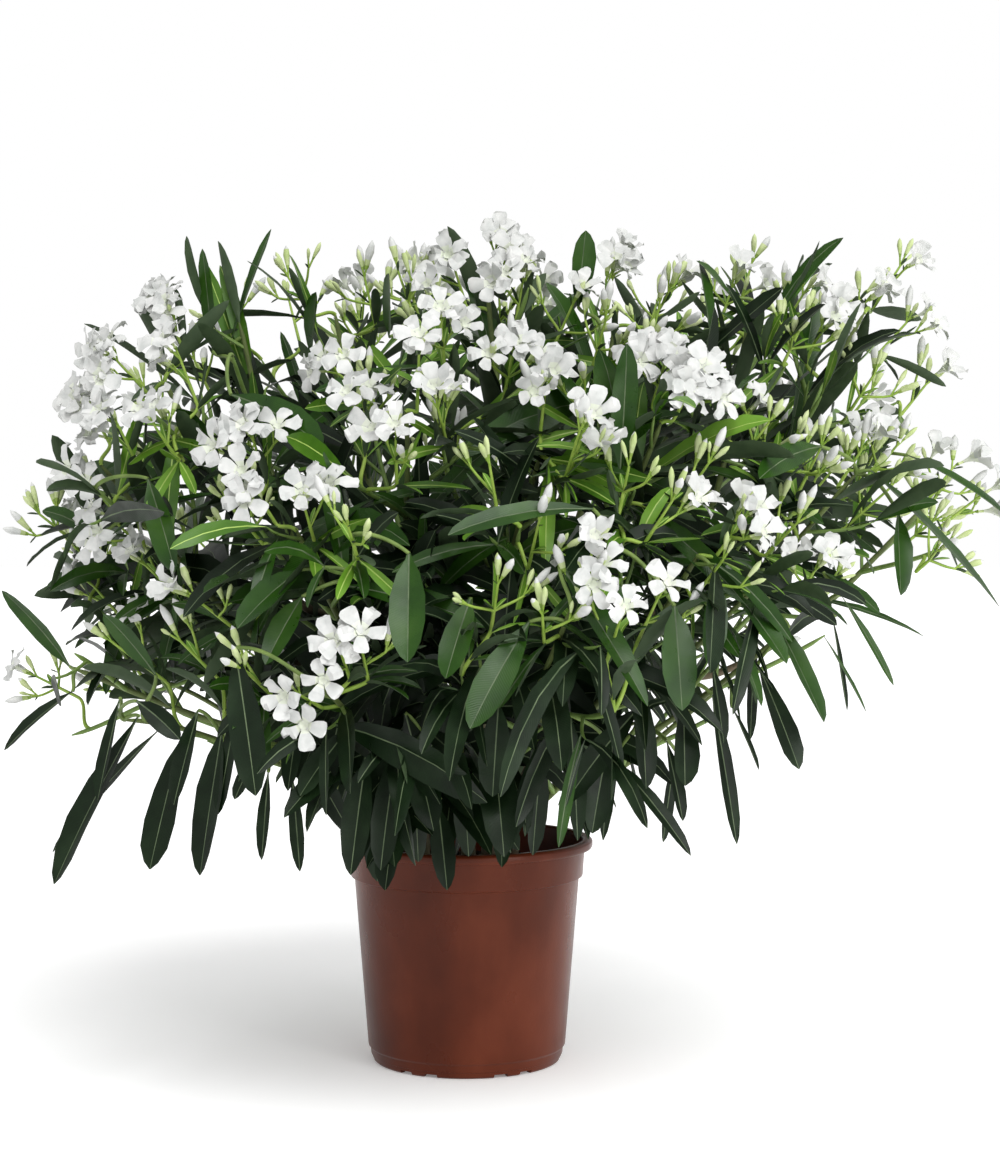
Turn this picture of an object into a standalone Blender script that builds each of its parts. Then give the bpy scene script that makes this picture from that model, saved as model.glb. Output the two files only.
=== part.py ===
"""A white-flowered oleander shrub in a round plastic nursery pot.

Metres, +Z up. The origin is the middle of the pot's flat underside and -Y is the front.
The pot and its soil carry seven stems. Each stem has boughs, and every stem tip, bough tip
and side shoot carries one leafy, flowering mass. All of it is worked out from the pot's
sizes, the stems' sizes and the planting plan below.
"""

import math
import random
from collections import namedtuple

import bmesh
import bpy
from mathutils import Matrix, Vector, kdtree
from mathutils.bvhtree import BVHTree

# ---------------------------------------------------------------- driving sizes: the pot

POT_SIDES = 32
POT_HEIGHT = 0.220
POT_WALL = 0.0022
LIP_RADIUS = 0.125
LIP_HEIGHT = 0.0095
LIP_EDGE = 0.0022
BAND_TOP_RADIUS = 0.1172
BAND_FOOT_RADIUS = 0.1152
BAND_FOOT_HEIGHT = 0.1835
BODY_TOP_RADIUS = 0.1115
BODY_FOOT_RADIUS = 0.0980
FOOT_HEIGHT = 0.0130
FOOT_TOP_RADIUS = 0.0958
FOOT_RADIUS = 0.0935
FLOOR_THICKNESS = 0.0060

NOTCH_PAIRS = 6
NOTCH_HALF_SPACING_DEG = 8.5
NOTCH_WIDTH = 0.014
NOTCH_DEPTH = 0.013
NOTCH_HEIGHT = 0.0032

GAP = 0.0003
SOIL_TOP = 0.190

# --------------------------------------------------- driving sizes: stems, boughs, shoots

STEM_SIDES = 8
STEM_STEPS = 6
FLARE_RADIUS = 0.0118
FLARE_HEIGHT = 0.016
STEM_FOOT_RADIUS = 0.0072
STEM_TIP_RADIUS = 0.0048
STEM_RING = 0.044

BOUGH_SIDES = 6
BOUGH_STEPS = 4
BOUGH_FOOT_RADIUS = 0.0044
BOUGH_TIP_RADIUS = 0.0034

CURVE_GRIP = 0.36

TWIG_SIDES = 3
LEADER_STEPS = 5
TWIG_STEPS = 2
LEADER_FOOT_RADIUS = 0.0036
LEADER_TIP_RADIUS = 0.0021
TWIG_FOOT_RADIUS = 0.0028
TWIG_TIP_RADIUS = 0.0018

HEART = Vector((0.020, 0.0, 0.300))
LEAFY_LENGTH = 0.280
TWIG_LENGTH = 0.112
TWIG_SPREAD = 0.085

# The crown's own limits: a squarish dome about its middle, and its foot, which rises a
# little to the front and climbs steeply beyond the pot on the right.
CROWN_TOP = 0.838
CROWN_SQUARENESS = 4
CROWN_MIDDLE_X = 0.035
CROWN_HALF_WIDTH = 0.512
CROWN_HALF_DEPTH = 0.462
CROWN_FOOT = 0.200
CROWN_FOOT_FRONT_RISE = 0.11
CROWN_FOOT_CLIMBS_FROM = 0.210
CROWN_FOOT_CLIMB = 1.10

# -------------------------------------------------------- driving sizes: leaves, blossoms

LEAF_LENGTH = 0.168
LEAF_WIDTH = 0.048
LEAF_THICKNESS_SHARE = 0.013
LEAF_WIDEST_AT = 0.45
LEAF_OPENING_DEG = 44.0
WHORL_LEAVES = 3
WHORL_SPACING = 0.064
BARE_FOOT = 0.045
BARE_UNDER_BLOSSOM = 0.044
# A leaf that doesn't fit is tried again shorter and swung round its twig.
TRIES = ((1.0, 0), (0.92, 24), (0.92, -24), (0.78, 48), (0.72, -48), (0.60, 0))

BLOSSOM_LENGTH = 0.034
BLOSSOM_RADIUS = 0.0225
BLOSSOM_NOTCH_SHARE = 0.80
BLOSSOM_LOBES = 5
BLOSSOM_CUP = 0.30
BLOSSOM_OPENING_DEG = 52.0
BLOSSOM_SPACING = 0.006
BUD_LENGTH = 0.034
BUD_WIDTH = 0.009

TWIG_SWINGS = (0, 25, -25, 50, -50)
GUARD = 0.0012
OWN_SPACE_MARGIN = 0.0010
SKELETON_SPACING = 0.012

# ------------------------------------------------------------------- the planting plan

Stem = namedtuple("Stem", "name compass ring tip_compass tip_lift tip_reach")

# compass: degrees from the front (-Y) towards the right (+X); lift: degrees above level;
# reach: metres. tip_* is seen from the heart of the crown.
STEMS = (
    Stem("stem_centre", 20, 0.004, 30, 80, 0.215),
    Stem("stem_front_left", -35, STEM_RING, -28, 42, 0.185),
    Stem("stem_front_right", 30, STEM_RING, 32, 40, 0.200),
    Stem("stem_right", 88, STEM_RING, 84, 44, 0.270),
    Stem("stem_back_right", 150, STEM_RING, 140, 48, 0.190),
    Stem("stem_back_left", -148, STEM_RING, -142, 50, 0.190),
    Stem("stem_left", -92, STEM_RING, -80, 46, 0.250),
)

Shoot = namedtuple("Shoot", "name stem seat bough compass lift reach forks roll flower droop")

# seat: share of the stem's length where the shoot leaves it, 1 being its tip; bough: True if
# a bough carries it; forks: side twigs; roll: degrees round the leader, 0 being upwards;
# flower: full, some, buds or none; droop: how far its leaves hang.
SHOOTS = (
    # the crown's top
    Shoot("top", "stem_centre", 1.0, False, 0, 85, 0.500, 3, 60, "full", 0.10),
    Shoot("top_right", "stem_centre", 0.80, True, 78, 74, 0.500, 2, 80, "full", 0.10),
    Shoot("top_left", "stem_centre", 0.66, True, -104, 71, 0.510, 2, 80, "buds", 0.10),
    # the front, high
    Shoot("front_left_high", "stem_front_left", 1.0, False, -18, 56, 0.430, 3, 20, "full", 0.20),
    Shoot("front_left_mid", "stem_front_left", 0.78, True, -32, 38, 0.445, 2, 75, "full", 0.30),
    Shoot("front_high", "stem_front_right", 0.86, False, 12, 51, 0.430, 3, 30, "some", 0.20),
    Shoot("front_right_high", "stem_front_right", 1.0, False, 34, 50, 0.470, 3, 10, "full", 0.25),
    Shoot("front_right_mid", "stem_front_right", 0.66, True, 33, 33, 0.455, 2, 80, "some", 0.35),
    # the left
    Shoot("left_leafy", "stem_left", 1.0, False, -74, 61, 0.540, 2, 50, "none", 0.10),
    Shoot("left_upper", "stem_left", 0.90, True, -71, 50, 0.545, 2, 60, "full", 0.20),
    Shoot("left_high", "stem_left", 0.80, True, -78, 38, 0.500, 3, 20, "full", 0.35),
    Shoot("left_low", "stem_left", 0.52, True, -80, 14, 0.470, 3, 40, "buds", 0.55),
    Shoot("left_back", "stem_left", 0.66, False, -102, 26, 0.450, 3, 60, "some", 0.45),
    # the right
    Shoot("right_top", "stem_right", 1.0, False, 80, 60, 0.545, 3, 45, "some", 0.10),
    Shoot("right_corner", "stem_right", 0.88, True, 84, 50, 0.580, 3, 85, "full", 0.15),
    Shoot("right_side", "stem_right", 0.74, True, 88, 31, 0.540, 3, 10, "some", 0.35),
    Shoot("right_front", "stem_right", 0.60, False, 66, 37, 0.480, 3, 60, "buds", 0.30),
    Shoot("right_front_low", "stem_right", 0.46, False, 54, 24, 0.440, 2, 80, "some", 0.50),
    # the front, low
    Shoot("front_low", "stem_front_right", 0.50, False, 11, 24, 0.450, 3, 90, "full", 0.50),
    Shoot("front_left_low", "stem_front_left", 0.56, False, -22, 15, 0.405, 2, 70, "full", 0.65),
    # the leafy inside
    Shoot("inner_front", "stem_centre", 0.46, False, -8, 45, 0.310, 3, 30, "none", 0.30),
    Shoot("inner_right", "stem_centre", 0.60, False, 74, 42, 0.290, 3, 60, "none", 0.30),
    Shoot("inner_left", "stem_centre", 0.40, False, -90, 48, 0.270, 3, 0, "none", 0.30),
    Shoot("inner_back", "stem_centre", 0.50, False, 176, 38, 0.270, 3, 30, "none", 0.30),
    # the skirt of hanging leaves
    Shoot("skirt_far_left", "stem_left", 0.38, False, -62, 8, 0.390, 2, 80, "none", 0.90),
    Shoot("skirt_left", "stem_front_left", 0.40, False, -36, 7, 0.330, 2, 80, "none", 0.95),
    Shoot("skirt_centre", "stem_front_left", 0.30, False, -5, 10, 0.270, 2, 80, "none", 0.90),
    Shoot("skirt_right", "stem_front_right", 0.32, False, 32, 12, 0.270, 2, 80, "none", 0.90),
    Shoot("skirt_far_right", "stem_right", 0.34, False, 66, 20, 0.330, 2, 80, "none", 0.80),
    # the back
    Shoot("back_right_high", "stem_back_right", 1.0, False, 122, 56, 0.480, 3, 30, "some", 0.15),
    Shoot("back_high", "stem_back_right", 0.84, True, 168, 52, 0.455, 2, 80, "full", 0.20),
    Shoot("back_right_mid", "stem_back_right", 0.62, False, 122, 26, 0.480, 2, 70, "full", 0.45),
    Shoot("back_mid", "stem_back_right", 0.46, False, 162, 20, 0.440, 2, 80, "some", 0.55),
    Shoot("back_left_high", "stem_back_left", 1.0, False, -132, 54, 0.480, 3, 50, "full", 0.15),
    Shoot("back_left_mid", "stem_back_left", 0.66, False, -130, 28, 0.450, 3, 60, "some", 0.45),
    Shoot("back_centre_low", "stem_back_left", 0.48, False, -165, 14, 0.410, 2, 80, "full", 0.60),
    Shoot("skirt_back_right", "stem_back_right", 0.34, False, 106, 17, 0.330, 2, 80, "none", 0.85),
    Shoot("skirt_back", "stem_back_right", 0.22, False, 156, 8, 0.310, 2, 80, "none", 0.95),
    Shoot("skirt_back_left", "stem_back_left", 0.30, False, -146, 8, 0.340, 2, 80, "none", 0.95),
    Shoot("skirt_left_back", "stem_left", 0.28, False, -106, 11, 0.390, 2, 80, "none", 0.90),
)

FLOWERS_AT_LEADER = {"full": 3, "some": 1, "buds": 0, "none": 0}
FLOWERS_AT_TWIG = {"full": 1, "some": 0, "buds": 0, "none": 0}
BUDS_AT_TIP = {"full": 0, "some": 0, "buds": 1, "none": 0}

UP = Vector((0.0, 0.0, 1.0))

# -------------------------------------------------------------------------- materials


def finish(name, colour, roughness):
    """A Principled material with a base colour and a roughness."""
    made = bpy.data.materials.new(name)
    made.use_nodes = True
    shader = made.node_tree.nodes["Principled BSDF"]
    shader.inputs["Base Color"].default_value = (*colour, 1.0)
    shader.inputs["Roughness"].default_value = roughness
    shader.inputs["Metallic"].default_value = 0.0
    return made


def add_object(name, bm, material):
    """Turns a bmesh into a linked object with one material."""
    mesh = bpy.data.meshes.new(name)
    bm.to_mesh(mesh)
    bm.free()
    made = bpy.data.objects.new(name, mesh)
    bpy.context.scene.collection.objects.link(made)
    mesh.materials.append(material)
    return made


# -------------------------------------------------------------------- the pot and soil


def turned(profile, sides):
    """Spins a profile of (radius, height) points about Z into a closed solid."""
    bm = bmesh.new()
    verts = [bm.verts.new((radius, 0.0, height)) for radius, height in profile]
    edges = [bm.edges.new(pair) for pair in zip(verts, verts[1:])]
    bmesh.ops.spin(
        bm, geom=verts + edges, cent=(0, 0, 0), axis=(0, 0, 1),
        angle=math.tau, steps=sides, use_merge=True,
    )
    bmesh.ops.remove_doubles(bm, verts=bm.verts, dist=1e-5)
    bmesh.ops.dissolve_degenerate(bm, edges=bm.edges, dist=1e-6)
    bmesh.ops.recalc_face_normals(bm, faces=bm.faces)
    return bm


def inner_radius(height):
    """The radius of the pot's inner wall at a height inside its body."""
    share = (height - FOOT_HEIGHT) / (BAND_FOOT_HEIGHT - FOOT_HEIGHT)
    outer = BODY_FOOT_RADIUS + share * (BODY_TOP_RADIUS - BODY_FOOT_RADIUS)
    return outer - POT_WALL


def pot_profile(swell=0.0):
    """The pot's section from the axis, up the outside, over the lip and down the inside."""
    lip_foot = POT_HEIGHT - LIP_HEIGHT
    outside = [
        (0.0, 0.0),
        (FOOT_RADIUS + swell, 0.0),
        (FOOT_TOP_RADIUS + swell, FOOT_HEIGHT),
        (BODY_FOOT_RADIUS + swell, FOOT_HEIGHT + LIP_EDGE),
        (BODY_TOP_RADIUS + swell, BAND_FOOT_HEIGHT - LIP_EDGE / 2),
        (BAND_FOOT_RADIUS + swell, BAND_FOOT_HEIGHT),
        (BAND_TOP_RADIUS + swell, lip_foot),
        (LIP_RADIUS - LIP_EDGE / 2 + swell, lip_foot + LIP_EDGE / 2),
        (LIP_RADIUS + swell, lip_foot + LIP_EDGE * 1.5),
        (LIP_RADIUS + swell, POT_HEIGHT - LIP_EDGE),
        (LIP_RADIUS - LIP_EDGE + swell, POT_HEIGHT + swell),
    ]
    inside = [
        (BAND_TOP_RADIUS - POT_WALL + LIP_EDGE / 2 - swell, POT_HEIGHT + swell),
        (BAND_TOP_RADIUS - POT_WALL - swell, POT_HEIGHT - LIP_EDGE),
        (BAND_FOOT_RADIUS - POT_WALL - swell, BAND_FOOT_HEIGHT + LIP_EDGE),
        (inner_radius(BAND_FOOT_HEIGHT) - swell, BAND_FOOT_HEIGHT - LIP_EDGE),
        (inner_radius(FLOOR_THICKNESS) - swell, FLOOR_THICKNESS),
        (0.0, FLOOR_THICKNESS),
    ]
    return outside + inside


def notch_cutters():
    """One mesh of the drainage notches: pairs of blocks round the foot's lower edge."""
    bm = bmesh.new()
    for pair in range(NOTCH_PAIRS):
        for side in (-1, 1):
            turn = math.tau * pair / NOTCH_PAIRS + side * math.radians(NOTCH_HALF_SPACING_DEG)
            middle = Vector((FOOT_RADIUS, 0.0, 0.0))
            scale = Matrix.Diagonal((2 * NOTCH_DEPTH, NOTCH_WIDTH, 2 * NOTCH_HEIGHT, 1.0))
            place = Matrix.Rotation(turn, 4, "Z") @ Matrix.Translation(middle) @ scale
            bmesh.ops.create_cube(bm, size=1.0, matrix=place)
    return bm


def make_pot(material):
    pot = add_object("pot", turned(pot_profile(), POT_SIDES), material)
    cutter = add_object("notch_cutter", notch_cutters(), material)
    cutter.hide_render = True
    cutter.display_type = "WIRE"
    cut = pot.modifiers.new("drainage_notches", "BOOLEAN")
    cut.operation = "DIFFERENCE"
    cut.solver = "EXACT"
    cut.object = cutter
    pot.data.shade_smooth()
    pot.data.set_sharp_from_angle(angle=math.radians(35))
    return pot


def make_soil(material):
    """The filled inside: a plug that clears the pot's wall and floor by the gap."""
    foot = FLOOR_THICKNESS + GAP
    clear = GAP / math.cos(math.pi / POT_SIDES) + GAP / 2
    profile = [
        (0.0, foot),
        (inner_radius(foot) - clear, foot),
        (inner_radius(BAND_FOOT_HEIGHT - LIP_EDGE) - clear, BAND_FOOT_HEIGHT - LIP_EDGE),
        (inner_radius(BAND_FOOT_HEIGHT - LIP_EDGE) - clear, SOIL_TOP),
        (0.0, SOIL_TOP),
    ]
    return add_object("soil", turned(profile, POT_SIDES), material)


# ------------------------------------------------------------------------ limb routes


class Route:
    """A limb's centre line: points, the direction at each point, and the radius at each."""

    def __init__(self, points, radii):
        self.points = points
        self.radii = radii
        last = len(points) - 1
        self.ways = [
            (points[min(i + 1, last)] - points[max(i - 1, 0)]).normalized()
            for i in range(last + 1)
        ]

    def at(self, share):
        """(point, direction, radius) at a share of the route."""
        place = min(max(share, 0.0), 1.0) * (len(self.points) - 1)
        i = min(int(place), len(self.points) - 2)
        t = place - i
        return (
            self.points[i].lerp(self.points[i + 1], t),
            self.ways[i].lerp(self.ways[i + 1], t).normalized(),
            self.radii[i] * (1 - t) + self.radii[i + 1] * t,
        )

    def length(self):
        return sum((b - a).length for a, b in zip(self.points, self.points[1:]))


def curved(start, start_way, end, end_way, steps):
    """Points along a cubic curve that leaves and arrives in the given directions."""
    reach = (end - start).length * CURVE_GRIP
    a, b = start + start_way * reach, end - end_way * reach
    points = []
    for i in range(steps + 1):
        t = i / steps
        s = 1 - t
        points.append(start * s**3 + a * 3 * s * s * t + b * 3 * s * t * t + end * t**3)
    return points


def taper(foot, tip, steps):
    return [foot + (tip - foot) * i / steps for i in range(steps + 1)]


def towards(compass, lift):
    """The unit direction at a compass bearing and a lift, both in degrees."""
    a, e = math.radians(compass), math.radians(lift)
    return Vector((math.sin(a) * math.cos(e), -math.cos(a) * math.cos(e), math.sin(e)))


def across(way, hint):
    """The part of hint square to way, as a unit direction."""
    side = hint - way * hint.dot(way)
    if side.length < 1e-4:
        side = way.orthogonal()
    return side.normalized()


def stem_route(stem):
    """A stem: a flat foot on the soil, a short flare, then an even taper out to its tip."""
    foot = towards(stem.compass, 0) * stem.ring + UP * (SOIL_TOP + GAP)
    tip = HEART + towards(stem.tip_compass, stem.tip_lift) * stem.tip_reach
    out = (towards(stem.tip_compass, stem.tip_lift) + UP * 0.5).normalized()
    flare = foot + UP * FLARE_HEIGHT
    points = [foot] + curved(flare, UP, tip, out, STEM_STEPS)
    radii = [FLARE_RADIUS] + taper(STEM_FOOT_RADIUS, STEM_TIP_RADIUS, STEM_STEPS)
    route = Route(points, radii)
    route.ways[0] = UP.copy()
    return route


def seat_on(parent, share, goal):
    """Where a limb stands on its parent, and the way it sets off: end to end at the tip,
    otherwise square to the parent's side, facing the goal."""
    point, way, radius = parent.at(share)
    if share >= 1.0:
        return point + way * GAP, way
    side = across(way, goal - point)
    return point + side * (radius + GAP * 1.5), side


def shoot_way(shoot):
    """The direction in which a shoot's tip points: outwards, turned up to the light."""
    rise = 0.45 - 0.62 * shoot.droop
    return (towards(shoot.compass, shoot.lift) + UP * rise).normalized()


def bough_route(shoot, parent):
    tip = HEART + towards(shoot.compass, shoot.lift) * shoot.reach
    end = tip - shoot_way(shoot) * LEAFY_LENGTH
    start, way = seat_on(parent, shoot.seat, end)
    arrive = (tip - start).normalized()
    points = curved(start, way, end, arrive, BOUGH_STEPS)
    route = Route(points, taper(BOUGH_FOOT_RADIUS, BOUGH_TIP_RADIUS, BOUGH_STEPS))
    route.ways[0] = way
    return route


def leader_route(shoot, parent, share):
    tip = HEART + towards(shoot.compass, shoot.lift) * shoot.reach
    start, way = seat_on(parent, share, tip)
    points = curved(start, way, tip, shoot_way(shoot), LEADER_STEPS)
    route = Route(points, taper(LEADER_FOOT_RADIUS, LEADER_TIP_RADIUS, LEADER_STEPS))
    route.ways[0] = way
    return route


def leafy_start(route):
    """The share of a leader at which its leaves and twigs begin."""
    return max(0.16, 1.0 - LEAFY_LENGTH / route.length())


def twig_route(shoot, leader, k, draw, swing=0.0):
    """One of a leader's side twigs, which are fanned evenly round it from the shoot's roll."""
    first = leafy_start(leader)
    share = first + (1.0 - first) * (0.26 + 0.12 * k + draw.uniform(0.0, 0.06))
    point, way, _ = leader.at(share)
    turn = shoot.roll + 360.0 * k / shoot.forks + draw.uniform(-12, 12) + swing
    side = Matrix.Rotation(math.radians(turn), 3, way) @ across(way, UP)
    grown = TWIG_LENGTH * draw.uniform(0.9, 1.08)
    tip = point + way * grown + side * TWIG_SPREAD * draw.uniform(0.85, 1.15)
    arrive = (way + side * 0.2 + UP * (0.25 - 0.4 * shoot.droop)).normalized()
    points = curved(point, (way + side * 1.1).normalized(), tip, arrive, TWIG_STEPS)
    return Route(points, taper(TWIG_FOOT_RADIUS, TWIG_TIP_RADIUS, TWIG_STEPS))


# ------------------------------------------------------------------------ solid shapes


def frame_at(point, way, side):
    """A matrix that puts a flat ring's Z along way and its X along side."""
    x = across(way, side)
    y = way.cross(x)
    turn = Matrix((x, y, way)).transposed().to_4x4()
    return Matrix.Translation(point) @ turn


def tube(route, sides, swell=0.0):
    """A closed tapering tube along a route: one ring at each point, bridged and capped."""
    bm = bmesh.new()
    side = route.ways[0].orthogonal()
    rings = []
    for point, way, radius in zip(route.points, route.ways, route.radii):
        side = across(way, side)
        ring = bmesh.ops.create_circle(
            bm, segments=sides, radius=radius + swell, matrix=frame_at(point, way, side)
        )
        rings.append(ring["verts"])
    for low, high in zip(rings, rings[1:]):
        for i in range(sides):
            j = (i + 1) % sides
            bm.faces.new((low[i], low[j], high[j], high[i]))
    bm.faces.new(tuple(reversed(rings[0])))
    bm.faces.new(tuple(rings[-1]))
    bmesh.ops.recalc_face_normals(bm, faces=bm.faces)
    return bm


def leaf_shape(root, way, axis, length, droop):
    """A leaf of six faces: a lance bent once as it hangs, with a low ridge on its upper side.
    Its root point lies in the middle of the twig, and its blade faces along the twig."""
    first = (way - UP * (0.35 * droop)).normalized()
    second = (way + axis * (0.4 * droop) - UP * (1.15 * droop)).normalized()
    middle = root + first * (length * LEAF_WIDEST_AT)
    tip = middle + second * (length * (1.0 - LEAF_WIDEST_AT))
    chord = (tip - root).normalized()
    normal = across(chord, axis)
    side = chord.cross(normal) * (LEAF_WIDTH / 2 * length / LEAF_LENGTH)
    ridge = middle + normal * (LEAF_THICKNESS_SHARE * length)
    return [root, tip, middle - side, middle + side, ridge]


LEAF_FACES = ((0, 2, 4), (0, 4, 3), (0, 3, 2), (1, 4, 2), (1, 3, 4), (1, 2, 3))


def blossom_shape(root, way, draw):
    """A five-lobed funnel: its foot in the middle of the twig, five flat sides that are
    notched between the petals' tips, and a hollowed throat."""
    side = Matrix.Rotation(draw.uniform(0, math.tau), 3, way) @ way.orthogonal().normalized()
    up = way.cross(side)
    mouth = root + way * BLOSSOM_LENGTH
    tips = []
    for k in range(BLOSSOM_LOBES):
        turn = math.tau * k / BLOSSOM_LOBES
        tips.append(mouth + (side * math.cos(turn) + up * math.sin(turn)) * BLOSSOM_RADIUS)
    points = [root, mouth - way * BLOSSOM_CUP * BLOSSOM_LENGTH]
    for k, tip in enumerate(tips):
        halfway = (tip + tips[(k + 1) % BLOSSOM_LOBES]) / 2
        points += [tip, root.lerp(halfway, BLOSSOM_NOTCH_SHARE)]
    faces = []
    for k in range(BLOSSOM_LOBES):
        tip, notch, following = 2 + 2 * k, 3 + 2 * k, 2 + (2 * k + 2) % (2 * BLOSSOM_LOBES)
        faces += [(0, following, notch, tip), (1, tip, notch), (1, notch, following)]
    return points, faces


def bud_shape(root, way):
    """A spindle of six faces."""
    middle = root + way * (BUD_LENGTH * 0.6)
    side = way.orthogonal().normalized() * (BUD_WIDTH / 2)
    turns = (Matrix.Rotation(math.tau * k / 3, 3, way) for k in range(3))
    return [root, root + way * BUD_LENGTH] + [middle + turn @ side for turn in turns], LEAF_FACES


def mesh_of(points, faces):
    bm = bmesh.new()
    verts = [bm.verts.new(point) for point in points]
    for face in faces:
        bm.faces.new([verts[i] for i in face])
    bmesh.ops.recalc_face_normals(bm, faces=bm.faces)
    return bm


# ------------------------------------------------------------- who may grow where


def in_crown(point):
    """True if a point lies within the crown's limits."""
    x = (point.x - CROWN_MIDDLE_X) / CROWN_HALF_WIDTH
    y = point.y / CROWN_HALF_DEPTH
    z = (point.z - HEART.z) / (CROWN_TOP - HEART.z)
    foot = CROWN_FOOT + CROWN_FOOT_FRONT_RISE * max(0.0, -point.y)
    foot += CROWN_FOOT_CLIMB * max(0.0, point.x - CROWN_FOOT_CLIMBS_FROM)
    return point.z > foot and math.hypot(x, y) ** CROWN_SQUARENESS + z**CROWN_SQUARENESS < 1.0


class Crown:
    """Keeps each mass to its own space, and every new piece off the limbs and neighbours."""

    def __init__(self):
        self.placed = []
        self.owners = []
        self.tree = None

    def record(self, owner, points, faces):
        """Remembers a piece, with a ball round it for a quick first test."""
        middle = sum(points, Vector()) / len(points)
        radius = max((point - middle).length for point in points)
        self.placed.append((owner, middle, radius, BVHTree.FromPolygons(points, faces)))

    def record_shape(self, owner, bm):
        self.record(owner, *parts_of(bm))
        bm.free()

    def touches(self, owner, points, faces, outer):
        """True if the piece meets another owner's, or its outer part meets its own."""
        middle = sum(points, Vector()) / len(points)
        radius = max((point - middle).length for point in points)
        whole, outer = (BVHTree.FromPolygons(shape, faces) for shape in (points, outer))
        return any(
            (outer if other == owner else whole).overlap(tree)
            for other, spot, size, tree in self.placed
            if (spot - middle).length < size + radius
        )

    def share_out(self, skeletons):
        """Gives each spot in the crown to the mass whose leader or twigs are nearest."""
        spots = [
            (owner, route.at(i * SKELETON_SPACING / route.length())[0])
            for owner, routes in skeletons.items()
            for route in routes
            for i in range(int(route.length() / SKELETON_SPACING) + 1)
        ]
        self.owners = [owner for owner, _ in spots]
        self.tree = kdtree.KDTree(len(spots))
        for i, (_, point) in enumerate(spots):
            self.tree.insert(point, i)
        self.tree.balance()

    def owns(self, owner, point):
        """True if the owner's skeleton is the nearest one, by a margin."""
        near = self.tree.find(point)[2]
        return all(
            self.owners[index] == owner
            for _, index, _ in self.tree.find_range(point, near + OWN_SPACE_MARGIN)
        )

    def may_place(self, owner, points, faces):
        """Records a leaf or blossom and says True, if it stays in its space and touches
        nothing but, with its root end, its own twig. The first point is the root."""
        if not all(in_crown(point) and self.owns(owner, point) for point in points[1:]):
            return False
        middle = sum(points, Vector()) / len(points)
        outer = [points[0].lerp(middle, 0.35)] + points[1:]
        if self.touches(owner, points, faces, outer):
            return False
        self.record(owner, points, faces)
        return True


def parts_of(bm):
    """A mesh's points and faces as lists."""
    bm.verts.ensure_lookup_table()
    bm.verts.index_update()
    points = [vert.co.copy() for vert in bm.verts]
    return points, [[vert.index for vert in face.verts] for face in bm.faces]


def clear_twigs(crown, shoot, leader, draw):
    """A shoot's side twigs, each swung round until it touches nothing, or else skipped."""
    found = []
    for k in range(shoot.forks):
        state = draw.getstate()
        for swing in TWIG_SWINGS:
            draw.setstate(state)
            twig = twig_route(shoot, leader, k, draw, swing)
            shape = tube(twig, TWIG_SIDES, swell=GUARD)
            points, faces = parts_of(shape)
            shape.free()
            own = [points[0]] * len(points)
            if in_crown(twig.points[-1]) and not crown.touches(shoot.name, points, faces, own):
                crown.record(shoot.name, points, faces)
                found.append(twig)
                break
    return found


# ------------------------------------------------------------------------- the masses


def place_whorls(crown, shoot, route, draw):
    """Rings of three leaves along a route, at even distances down from its tip."""
    found = []
    length = route.length()
    down = BARE_UNDER_BLOSSOM if shoot.flower != "none" else 0.010
    while down < length - BARE_FOOT:
        point, way, _ = route.at(1.0 - down / length)
        down += WHORL_SPACING
        start = draw.uniform(0, math.tau / WHORL_LEAVES)
        for k in range(WHORL_LEAVES):
            turn = start + math.tau * k / WHORL_LEAVES
            side = Matrix.Rotation(turn, 3, way) @ way.orthogonal().normalized()
            opening = math.radians(LEAF_OPENING_DEG + 22 * shoot.droop + draw.uniform(-7, 7))
            out = way * math.cos(opening) + side * math.sin(opening)
            size = LEAF_LENGTH * draw.uniform(0.86, 1.10)
            for shorter, swing in TRIES:
                swung = Matrix.Rotation(math.radians(swing), 3, way) @ out
                points = leaf_shape(point, swung, way, size * shorter, shoot.droop)
                if crown.may_place(shoot.name, points, LEAF_FACES):
                    found.append(mesh_of(points, LEAF_FACES))
                    break
    return found


def place_blooms(crown, shoot, route, flowers, buds, draw):
    """Blossoms and buds round a twig's tip, each a little further down than the last."""
    found = []
    count = flowers + buds
    start = draw.uniform(0, math.tau)
    for k in range(count):
        point, way, _ = route.at(1.0 - (0.002 + BLOSSOM_SPACING * k) / route.length())
        opening = math.radians(0 if count == 1 else BLOSSOM_OPENING_DEG)
        side = Matrix.Rotation(start + math.tau * k / count, 3, way) @ way.orthogonal()
        out = way * math.cos(opening) + side.normalized() * math.sin(opening)
        shape = blossom_shape(point, out, draw) if k < flowers else bud_shape(point, out)
        if crown.may_place(shoot.name, *shape):
            found.append(mesh_of(*shape))
    return found


def keep_one_shell(mesh):
    """Drops every shell but the largest: loose scraps, and hollows that the union sealed."""
    bm = bmesh.new()
    bm.from_mesh(mesh)
    seen, shells = set(), []
    for seed in bm.verts:
        if seed in seen:
            continue
        shell, todo = {seed}, [seed]
        while todo:
            for edge in todo.pop().link_edges:
                for vert in edge.verts:
                    if vert not in shell:
                        shell.add(vert)
                        todo.append(vert)
        seen |= shell
        shells.append(shell)
    shells.sort(key=len)
    scraps = [vert for shell in shells[:-1] for vert in shell]
    bmesh.ops.delete(bm, geom=scraps, context="VERTS")
    bm.to_mesh(mesh)
    bm.free()


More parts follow.
